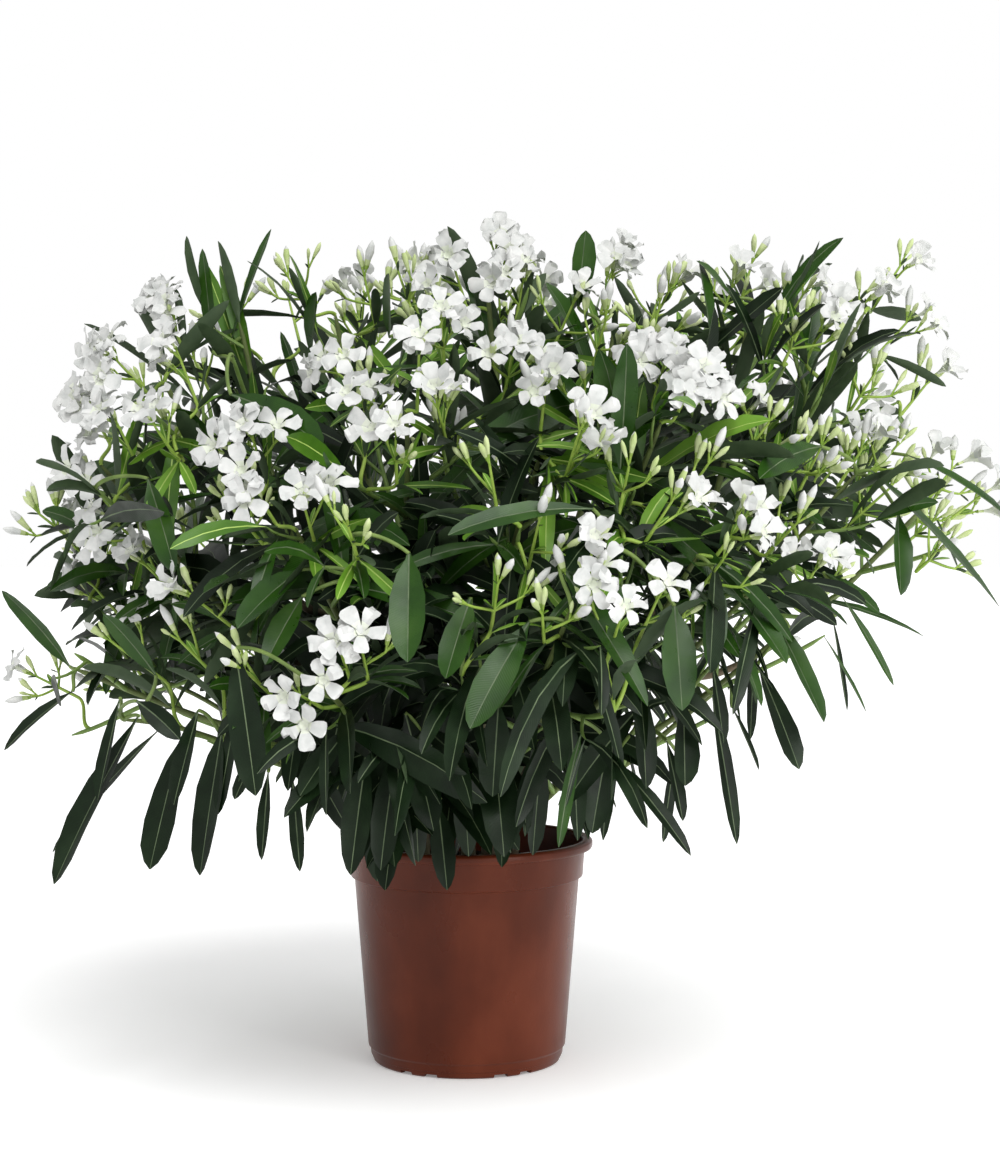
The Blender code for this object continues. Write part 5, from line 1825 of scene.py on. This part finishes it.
def longest_leaf(row, draw):
    """A leaf from the limb nearest to its foot, to its tip."""
    foot = HEART + towards(row[0], row[1]) * row[2]
    tip = HEART + towards(row[3], row[4]) * row[5]
    root, seat = leaf_foot(foot, tip)
    way = (tip - root).normalized()
    level = max(0.0, 1.0 - abs(way.z))
    start = (way + UP * LONG_LEAF_RISE * level).normalized()
    outward = Vector((tip.x - HEART.x, tip.y - HEART.y, 0.0)).normalized()
    face = (outward * (0.4 + 0.6 * abs(way.z)) + UP * 0.5 + Vector((0.0, -0.5, 0.0))).normalized()
    hanging = tip.z < HEART.z + HANGING_UNDER
    return Leaf(
        root=root,
        axis=start,
        side=-face,
        length=(tip - root).length * (1.0 + LONG_LEAF_SLACK * level),
        width=row[6],
        opening=0.0,
        droop=LONG_LEAF_DROOP * level,
        curl=0.0,
        twist=draw.uniform(-18, 18),
        # Painted shade: hanging long leaves take the deepest green.
        tone=SHADE_DEEP if hanging else DARK,
        seat=seat,
    )


long_records = [longest_leaf(row, random.Random(7000 + k)) for k, row in enumerate(LONGEST_LEAVES)]
lengths = [leaf.length for leaf in long_records]
print("longest leaves:", len(lengths), "of", round(min(lengths), 3), "to", round(max(lengths), 3), "m")

# %% [markdown]
# Both kinds are joined like the other leaves. The young ones may come closer to a truss, because
# they grow right under it. The longest have no limit, because they draw the outline themselves.

# %% Join the young and the longest leaves
YOUNG_CLEARANCE = 0.020
young_mesh = leaf_mesh("leaves_young", young_records, 21, clearance=YOUNG_CLEARANCE)
place_piece(young_mesh, LEAF_FINISHES, sharp_angle=LEAF_SHARP)
longest_mesh = leaf_mesh("leaves_longest", long_records, 22, limit=False)
place_piece(longest_mesh, LEAF_FINISHES, sharp_angle=LEAF_SHARP)

# %% [markdown]
# ## Green twigs
# The leaders, twigs and sprigs are too many for one object each. Every route is read at the
# same number of places, which lets one tube pattern be wrapped round all of them at once. A tube's
# first side direction is taken from up, or from sideways where the limb itself stands upright.

# %% Tubes along many routes
NEARLY_UPRIGHT = 0.9


def ring_of(sides):
    """The corners of a circle, as the section of a pattern."""
    return [(math.cos(math.tau * k / sides), math.sin(math.tau * k / sides)) for k in range(sides)]


def square_hint(ways):
    """For each way a direction that it doesn't run along."""
    leaning = np.abs(ways[:, 2:3]) < NEARLY_UPRIGHT
    return np.where(leaning, np.array([0.0, 0.0, 1.0]), np.array([1.0, 0.0, 0.0]))


def square_pair(ways):
    """Two directions square to each way and to each other."""
    hint = square_hint(ways)
    x = unit(hint - ways * dots(hint, ways))
    return x, np.cross(ways, x)


def tube_mesh(name, lines, radii, sides, tone):
    """Tubes round (number, rows, 3) lines, with one tone each, as one mesh."""
    number, rows = lines.shape[:2]
    ring = ring_of(sides)
    _, faces = ring_pattern(ring, np.arange(rows, dtype=float))
    ways = unit(np.gradient(lines, axis=1))
    side, face = carried(ways, square_hint(ways[:, 0]))
    circle = np.array(ring)
    outward = side[:, :, None] * circle[None, None, :, 0:1]
    outward = outward + face[:, :, None] * circle[None, None, :, 1:2]
    copies = lines[:, :, None] + radii[:, :, None, None] * outward
    copies = copies.reshape(number, rows * sides, 3)
    tones = np.repeat(np.asarray(tone)[:, None], len(faces), axis=1)
    return joined(name, copies, faces, tones)


# %% [markdown]
# Each spray is drawn up to the last thing that it bears, and is thinned at its end. The leaders
# are brown-green, and the twigs and sprigs a clear green, so there are two barks.

# %% Leaders, twigs and sprigs
TWIG_END = 0.35
PAST_LAST_SEAT = 0.01
TWIG_SHARP = 70.0


def read_route(route, rows, stop):
    """A route's points and radii at an even number of places, up to a share of it."""
    places = [route.at(stop * i / (rows - 1)) for i in range(rows)]
    return [place[0][:] for place in places], [place[2] for place in places]


def twig_mesh(name, order, rows, sides, tone):
    """All the sprays of one order, each up to the last thing that it bears."""
    drawn = [(spray, min(1.0, last_seat[number] + PAST_LAST_SEAT)) for number, spray in enumerate(sprays)
             if spray.order == order and last_seat[number] > spray.first]
    read = [read_route(spray.route, rows, stop) for spray, stop in drawn]
    lines = np.array([points for points, _ in read])
    radii = np.array([widths for _, widths in read])
    radii[:, -1] *= TWIG_END
    return tube_mesh(name, lines, radii, sides, [tone] * len(drawn))


TWIG_FINISHES = [
    plain_finish("leader_bark", (0.080, 0.105, 0.032), (0.130, 0.175, 0.050), 0.56),
    plain_finish("twig_green", (0.120, 0.200, 0.045), (0.190, 0.290, 0.075), 0.48),
]
note_seats(flowering_seats)
place_piece(twig_mesh("leaders", 0, 22, 7, 0), TWIG_FINISHES, sharp_angle=TWIG_SHARP)
place_piece(twig_mesh("twigs", 1, 9, 6, 1), TWIG_FINISHES, sharp_angle=TWIG_SHARP)
place_piece(twig_mesh("sprigs", 2, 6, 5, 1), TWIG_FINISHES, sharp_angle=TWIG_SHARP)

# %% [markdown]
# ## The truss
# A yellow-green stalk divides into two to five arms, and each arm ends in two or three short
# stalks, which makes a dome. The oldest ends open first and the others are buds of all ages. The
# flowers turn to the side light, so they face out more than up, and the buds stand up.

# %% Truss rule
Stalk = namedtuple("Stalk", "points foot tip")
Bloom = namedtuple("Bloom", "root way size open spin")
Bud = namedtuple("Bud", "root way length width age spin")
PEDUNCLE = 0.017
ARM = 0.019
BUD_ARM = 0.026
PEDICEL = 0.008
PEDUNCLE_RADII = (0.0018, 0.0016)
ARM_RADII = (0.0015, 0.0012)
PEDICEL_RADII = (0.0011, 0.0010)
FORK_BRACT, TIP_BRACT = (0.012, 0.022), (0.007, 0.013)
SMALLEST_BUD, BUD_GROWTH = (0.012, 0.0036), (0.017, 0.0049)
BUD_AGES = (0.1, 0.3, 0.45, 0.65, 0.85, 1.0)
FLOWER_SIZES = (0.82, 1.02)
FLOWER_WANDER = 0.30
WIDE_OPEN = (1.0, 1.0, 1.0, 0.92, 0.85, 0.62)
JUST_OPENING = (0.12, 0.25, 0.40, 0.62, 0.92)
ARM_LEAN = 58.0
stalks, blooms, buds, bracts = [], [], [], []


def add_stalk(start, start_way, end, end_way, foot, tip):
    """A stalk that leaves and arrives along given ways, with its radius at foot and tip."""
    stalks.append(Stalk(curved(start, start_way, end, end_way, 4), foot, tip))


def add_bract(root, way, side, length):
    """A small pointed leaf at a fork."""
    bracts.append(Leaf(root, way, side, length, length * 0.28, 34.0, 0.0, 0.0, 0.0, YOUNG))


def add_bud(root, way, age, draw):
    """A bud: age 0 is a small green one, 1 is long, white and about to open."""
    length = (SMALLEST_BUD[0] + BUD_GROWTH[0] * age) * draw.uniform(0.85, 1.15)
    width = (SMALLEST_BUD[1] + BUD_GROWTH[1] * age) * draw.uniform(0.9, 1.1)
    buds.append(Bud(root, way, length, width, age, draw.uniform(0, 360)))


def add_bloom(root, way, lean, openings, draw):
    """A flower, as far open as one of the given shares."""
    wander = Vector([draw.gauss(0, FLOWER_WANDER) for _ in range(3)])
    face = (way + lean + wander).normalized()
    open_share = draw.choice(openings)
    blooms.append(Bloom(root, face, draw.uniform(*FLOWER_SIZES), open_share, draw.uniform(0, 72)))


# %% [markdown]
# The rule grows a truss from the tip of its shoot: a common stalk, a fork with its arms, and the
# short stalks at each arm's tip. The oldest ends get the flowers, the others get the buds. Every
# truss draws its own seeded numbers, so a change to one leaves the others as they are.

# %% Grow every truss
FEWEST_ARMS, MOST_ARMS = 2, 5
ENDS_ON_AN_ARM = 2.6
YOUNG_ABOVE_LIFT = 26


def truss_arms(root, way, ends, arm_length, draw):
    """The forks and short stalks of a truss, as (order, root, way) places for its ends."""
    arms = max(FEWEST_ARMS, min(MOST_ARMS, round(ends / ENDS_ON_AN_ARM)))
    fork = root + way * PEDUNCLE * draw.uniform(0.8, 1.3)
    add_stalk(root, way, fork, way, *PEDUNCLE_RADII)
    places = []
    turn = draw.uniform(0, 360)
    for arm in range(arms):
        side = turned_side(way, turn + 360.0 * arm / max(1, arms - 1))
        lean = math.radians(0.0 if arm == 0 else ARM_LEAN + draw.uniform(-9, 9))
        arm_way = way * math.cos(lean) + side * math.sin(lean)
        tip = fork + arm_way * arm_length * draw.uniform(0.8, 1.35)
        turn_up = (arm_way + way * 0.25).normalized()
        add_stalk(fork, arm_way, tip, turn_up, *ARM_RADII)
        add_bract(fork, way, side, draw.uniform(*FORK_BRACT))
        add_bract(tip, turn_up, turned_side(turn_up, turn), draw.uniform(*TIP_BRACT))
        for k in range(math.ceil(ends / arms)):
            side = turned_side(turn_up, turn + 120.0 * k + draw.uniform(-25, 25))
            short_way = (turn_up + side * (0.12 if k == 0 else 0.62)).normalized()
            places.append((k + draw.random() * 0.9, tip, short_way))
    return sorted(places, key=lambda place: place[0])[:ends]


def grow_truss(root, way, truss, draw):
    """One truss on its shoot: flowers at the oldest ends, buds of all ages at the others."""
    level = Vector((root.x - HEART.x, root.y - HEART.y, 0.0)).normalized()
    arm_length = ARM if truss.flowers > 1 else BUD_ARM
    still_young = truss.flowers < truss.buds and truss.lift > YOUNG_ABOVE_LIFT
    openings = JUST_OPENING if still_young else WIDE_OPEN
    ends = truss_arms(root, way, truss.flowers + truss.buds, arm_length, draw)
    for number, (_, tip, short_way) in enumerate(ends):
        flower = number < truss.flowers
        if not flower:
            short_way = (short_way * 0.9 + UP * 0.35).normalized()
        end = tip + short_way * PEDICEL * draw.uniform(0.7, 1.4)
        add_stalk(tip, short_way, end, short_way, *PEDICEL_RADII)
        if flower:
            add_bloom(end, short_way, flower_lean(level, truss.compass), openings, draw)
        else:
            add_bud(end, short_way, draw.choice(BUD_AGES), draw)


for number, (truss, route) in enumerate(zip(trusses, flowering_routes)):
    point, way, _ = route.at(1.0)
    grow_truss(point, way, truss, random.Random(5000 + number))
print("stalks:", len(stalks), "flowers:", len(blooms), "buds:", len(buds), "bracts:", len(bracts))

# %% [markdown]
# Stalks, the flowering shoots under them and the bracts are the joined kinds again. The bracts
# reuse the leaf pattern at a tenth of its length.

# %% Stalks, flowering shoots and bracts
STALK_FINISH = plain_finish("stalk_yellow_green", (0.200, 0.330, 0.040), (0.330, 0.460, 0.085), 0.5)
THIN_SHARP = 80.0


def stalk_mesh():
    """The stalks of all the trusses."""
    lines = np.array([[point[:] for point in stalk.points] for stalk in stalks])
    radii = np.array([taper(stalk.foot, stalk.tip, 4) for stalk in stalks])
    return tube_mesh("truss_stalks", lines, radii, 5, [0] * len(stalks))


def shoot_mesh(name, routes):
    """One tube along each whole route."""
    lines = np.array([[point[:] for point in route.points] for route in routes])
    radii = np.array([route.radii for route in routes])
    return tube_mesh(name, lines, radii, 6, [0] * len(routes))


TWIG_FINISH = plain_finish("leaf_twig_green", (0.110, 0.170, 0.040), (0.190, 0.270, 0.070), 0.5)
place_piece(stalk_mesh(), [STALK_FINISH], sharp_angle=THIN_SHARP)
flowering_mesh = shoot_mesh("flowering_shoots", flowering_routes)
place_piece(flowering_mesh, [STALK_FINISH], sharp_angle=THIN_SHARP)
leaf_twig_mesh = shoot_mesh("leaf_twigs", leaf_twigs)
place_piece(leaf_twig_mesh, [TWIG_FINISH], sharp_angle=THIN_SHARP)
bract_mesh = leaf_mesh("bracts", bracts, 23, limit=False)
place_piece(bract_mesh, LEAF_FINISHES, sharp_angle=LEAF_SHARP)

# %% [markdown]
# ## The flower
# A single white oleander flower has a narrow tube that opens to a funnel, and five petals set
# like the blades of a propeller: each is narrow at its foot, broad and slanted at its end, and
# tipped a little on its own length. A fringe of short white teeth stands round the throat. The
# tubes, the petals and the fringes are three joined kinds.

# %% Flower tubes
TUBE_ROWS = np.array([0.0, 0.16, 0.17, 0.45, 0.72, 0.90, 1.0, 0.84])
TUBE_RADII = np.array([0.0011, 0.0019, 0.0012, 0.0014, 0.0024, 0.0038, 0.0046, 0.0018])
TUBE_LENGTH = 0.0190
TUBE_SIDES = 6


def bloom_frames():
    """Roots, ways, two square directions and sizes of all the flowers."""
    roots, ways, size, spin = columns(blooms, "root", "way", "size", "spin")
    return roots, ways, *turned_about(*square_pair(ways), np.radians(spin)[:, None]), size


def tube_flower_mesh():
    """The flowers' tubes, each with a small green calyx round its foot."""
    roots, ways, x, y, size = bloom_frames()
    ring = ring_of(TUBE_SIDES)
    _, faces = ring_pattern(ring, np.arange(len(TUBE_ROWS), dtype=float))
    circle = np.array(ring)
    along = (TUBE_ROWS * TUBE_LENGTH)[None, :, None, None] * size[:, None, None, None]
    out = TUBE_RADII[None, :, None, None] * size[:, None, None, None]
    outward = x[:, None, None] * circle[None, None, :, 0:1]
    outward = outward + y[:, None, None] * circle[None, None, :, 1:2]
    copies = roots[:, None, None] + ways[:, None, None] * along + out * outward
    copies = copies.reshape(len(roots), -1, 3)
    by_row = {0: 0, 1: 0, 2: 1}
    tones = [by_row.get(row_of(face, TUBE_SIDES), 2) for face in faces]
    return joined("flower_tubes", copies, faces, np.tile(tones, (len(roots), 1)))


# %% [markdown]
# A petal is a strip of four-point sections: its two margins, its middle above and its middle
# below. Its line leaves the throat steeply and bends out flat, and the two margins have their
# own widths, which slants the end. The sections are set on centre lines, worked out first.

# %% Petal lines
PETALS = 5
PETAL_ROWS = np.array([0.0, 0.24, 0.50, 0.76, 0.93, 1.0])
PETAL_LEFT = np.array([0.34, 0.60, 0.92, 1.06, 0.96, 0.58])
PETAL_RIGHT = np.array([0.34, 0.52, 0.80, 0.94, 0.80, 0.36])
PETAL_LENGTH = 0.0202
PETAL_HALF_WIDTH = 0.0077
PETAL_THICKNESS = 0.0005
PETAL_CUP = 0.16
PETAL_TIP_IN = 14.0
PETAL_SECTION = ((-1, 0), (0, 1), (1, 0), (0, -1))
THROAT_RADIUS = 0.0042


def round_throat(x, y, count, start=0.0):
    """Directions spread evenly round the throats of all the flowers."""
    turns = ((np.arange(count) + start) * math.tau / count)[None, :, None]
    radial = x[:, None] * np.cos(turns) + y[:, None] * np.sin(turns)
    return radial.reshape(-1, 3)


def petal_lines(draw):
    """Centre lines of all the petals, their side and face directions, and their sizes."""
    roots, ways, x, y, size = bloom_frames()
    radial = round_throat(x, y, PETALS)
    axis = np.repeat(ways, PETALS, axis=0)
    size = np.repeat(size, PETALS) * draw.uniform(0.90, 1.08, len(radial))
    openness = np.repeat(column(blooms, "open"), PETALS) + draw.uniform(-0.13, 0.13, len(radial))
    throat = np.repeat(roots, PETALS, axis=0) + axis * (TUBE_LENGTH * 0.96 * size)[:, None]
    foot = throat + radial * (THROAT_RADIUS * 0.86 * size)[:, None]
    bend = np.clip(PETAL_ROWS * 2.2, 0.0, 1.0)[None] ** 0.8
    angle = np.radians(34.0 + bend * (60.0 * openness[:, None] - 4.0) + 9.0 * PETAL_ROWS[None] ** 2)
    lines_way = axis[:, None] * np.cos(angle)[..., None] + radial[:, None] * np.sin(angle)[..., None]
    steps = np.diff(PETAL_ROWS)[None] * (PETAL_LENGTH * size)[:, None]
    return centres_from(foot, lines_way, steps), *carried(lines_way, axis), size


# %% [markdown]
# Each petal is turned on its own length, more towards its tip. Its margins are lifted into a
# shallow cup, and past the foot they are crumpled a little, each by its own seeded amount.

# %% Petals
PETAL_CRUMPLE = 0.0017
CRUMPLED_FROM = 0.3


def petal_mesh():
    """Five petals for each flower."""
    draw = np.random.default_rng(11)
    lines, sides, faces, size = petal_lines(draw)
    number, rows = lines.shape[:2]
    turn = np.radians(PETAL_TIP_IN + draw.uniform(-8, 20, number))[:, None, None]
    sides, faces = turned_about(sides, faces, turn * PETAL_ROWS[None, :, None] ** 0.5)
    half = (PETAL_HALF_WIDTH * size)[:, None]
    crumple = draw.normal(0.0, PETAL_CRUMPLE, (number, rows, 2))
    crumple = crumple * (PETAL_ROWS > CRUMPLED_FROM)[None, :, None]
    cup = PETAL_CUP * half * np.sin(PETAL_ROWS * 2.6)[None]
    offsets = np.zeros((number, rows, 4, 2))
    offsets[:, :, 0] = np.stack((-half * PETAL_LEFT[None], cup + crumple[..., 0]), axis=-1)
    offsets[:, :, 1, 1] = PETAL_THICKNESS / 2
    offsets[:, :, 2] = np.stack((half * PETAL_RIGHT[None], cup + crumple[..., 1]), axis=-1)
    offsets[:, :, 3, 1] = -PETAL_THICKNESS / 2
    copies = beside_lines(lines, sides, faces, offsets)
    _, pattern = ring_pattern(PETAL_SECTION, PETAL_ROWS)
    tones = [1 if row_of(face, len(PETAL_SECTION)) == 0 else 0 for face in pattern]
    return joined("petals", copies, pattern, np.tile(tones, (number, 1)))


# %% [markdown]
# The fringe is a ring of slim teeth that stand inside the feet of the petals. Each tooth is a
# short tube that runs to a point.

# %% Throat fringe
FRINGE_TEETH = 5
FRINGE_UP, FRINGE_OUT = 0.93, 0.0040
TOOTH_HEIGHT = 0.0036
TOOTH_WIDTH = 0.0009


def fringe_mesh():
    """Slim pointed teeth round each flower's throat, leaning outwards."""
    roots, ways, x, y, size = bloom_frames()
    radial = round_throat(x, y, FRINGE_TEETH, 0.5)
    axis = np.repeat(ways, FRINGE_TEETH, axis=0)
    size = np.repeat(size, FRINGE_TEETH)[:, None]
    foot = np.repeat(roots, FRINGE_TEETH, axis=0) + axis * TUBE_LENGTH * FRINGE_UP * size
    foot = foot + radial * FRINGE_OUT * size
    tip = foot + (axis * 0.9 + radial * 0.25) * TOOTH_HEIGHT * size
    lines = np.stack((foot, (foot + tip) / 2, tip), axis=1)
    radii = np.array([1.0, 0.7, 0.12])[None] * TOOTH_WIDTH * size
    return tube_mesh("throat_fringes", lines, radii, 4, [0] * len(lines))


# %% [markdown]
# A bud is a slender spindle of a few rings, turned a little from foot to tip. Its calyx is green.
# A young bud is pale green up to its tip, and an old one is white almost from its calyx.

# %% Buds
BUD_ROWS = np.array([0.0, 0.14, 0.34, 0.60, 0.84, 1.0])
BUD_SHAPE = np.array([0.40, 0.56, 0.74, 1.0, 0.72, 0.08])
BUD_SIDES = 5
BUD_TWIST = 70.0


def bud_mesh():
    """Slender pointed buds, furled with a slight twist."""
    roots, ways, length, width = columns(buds, "root", "way", "length", "width")
    age, spin = columns(buds, "age", "spin")
    x, y = square_pair(ways)
    turn = np.radians(spin)[:, None, None] + np.radians(BUD_TWIST) * BUD_ROWS[None, :, None]
    turn = turn + (np.arange(BUD_SIDES) * math.tau / BUD_SIDES)[None, None]
    out = (width * 0.5)[:, None] * BUD_SHAPE[None]
    along = (BUD_ROWS[None] * length[:, None])[..., None, None]
    outward = x[:, None, None] * np.cos(turn)[..., None] + y[:, None, None] * np.sin(turn)[..., None]
    copies = roots[:, None, None] + ways[:, None, None] * along + out[..., None, None] * outward
    _, faces = ring_pattern(ring_of(BUD_SIDES), BUD_ROWS)
    rows = np.array([row_of(face, BUD_SIDES) for face in faces])
    green_rows = np.where(age > 0.9, 2, np.where(age > 0.7, 3, np.where(age > 0.5, 4, 9)))[:, None]
    tones = np.where(rows[None] < 1, 0, np.where(rows[None] < green_rows, 1, 2))
    return joined("buds", copies.reshape(len(roots), -1, 3), faces, tones)


# %% [markdown]
# ## Petal finishes
# White petals are matt, with a fine grain in their surface. Their tint wanders between a cool white
# and a warm one. The white is kept well under full brightness, so that the light still shapes it.

# %% Petal finishes
def petal_white():
    petal = principled("petal_white", (0.60, 0.61, 0.60), 0.55, specular=0.25)
    spread(petal, speckle(petal, 90.0), "Base Color",
           ((0.3, (0.50, 0.515, 0.50)), (0.7, (0.66, 0.66, 0.645))))
    relief(petal, speckle(petal, 240.0, detail=3.0), 0.0005, strength=0.7)
    return petal


PETAL_SHARP = 28.0
PETAL = petal_white()
CALYX = plain_finish("calyx_green", (0.190, 0.300, 0.045), (0.290, 0.410, 0.085), 0.5)
PALE_TUBE = plain_finish("tube_pale_green", (0.400, 0.495, 0.195), (0.560, 0.630, 0.340), 0.5)
CREAM = plain_finish("throat_white", (0.600, 0.640, 0.520), (0.680, 0.700, 0.620), 0.5)
place_piece(tube_flower_mesh(), [CALYX, PALE_TUBE, CREAM], sharp_angle=THIN_SHARP)
place_piece(petal_mesh(), [PETAL, CREAM], sharp_angle=PETAL_SHARP)
place_piece(fringe_mesh(), [PETAL], sharp_angle=THIN_SHARP)
place_piece(bud_mesh(), [CALYX, PALE_TUBE, PETAL], sharp_angle=THIN_SHARP)
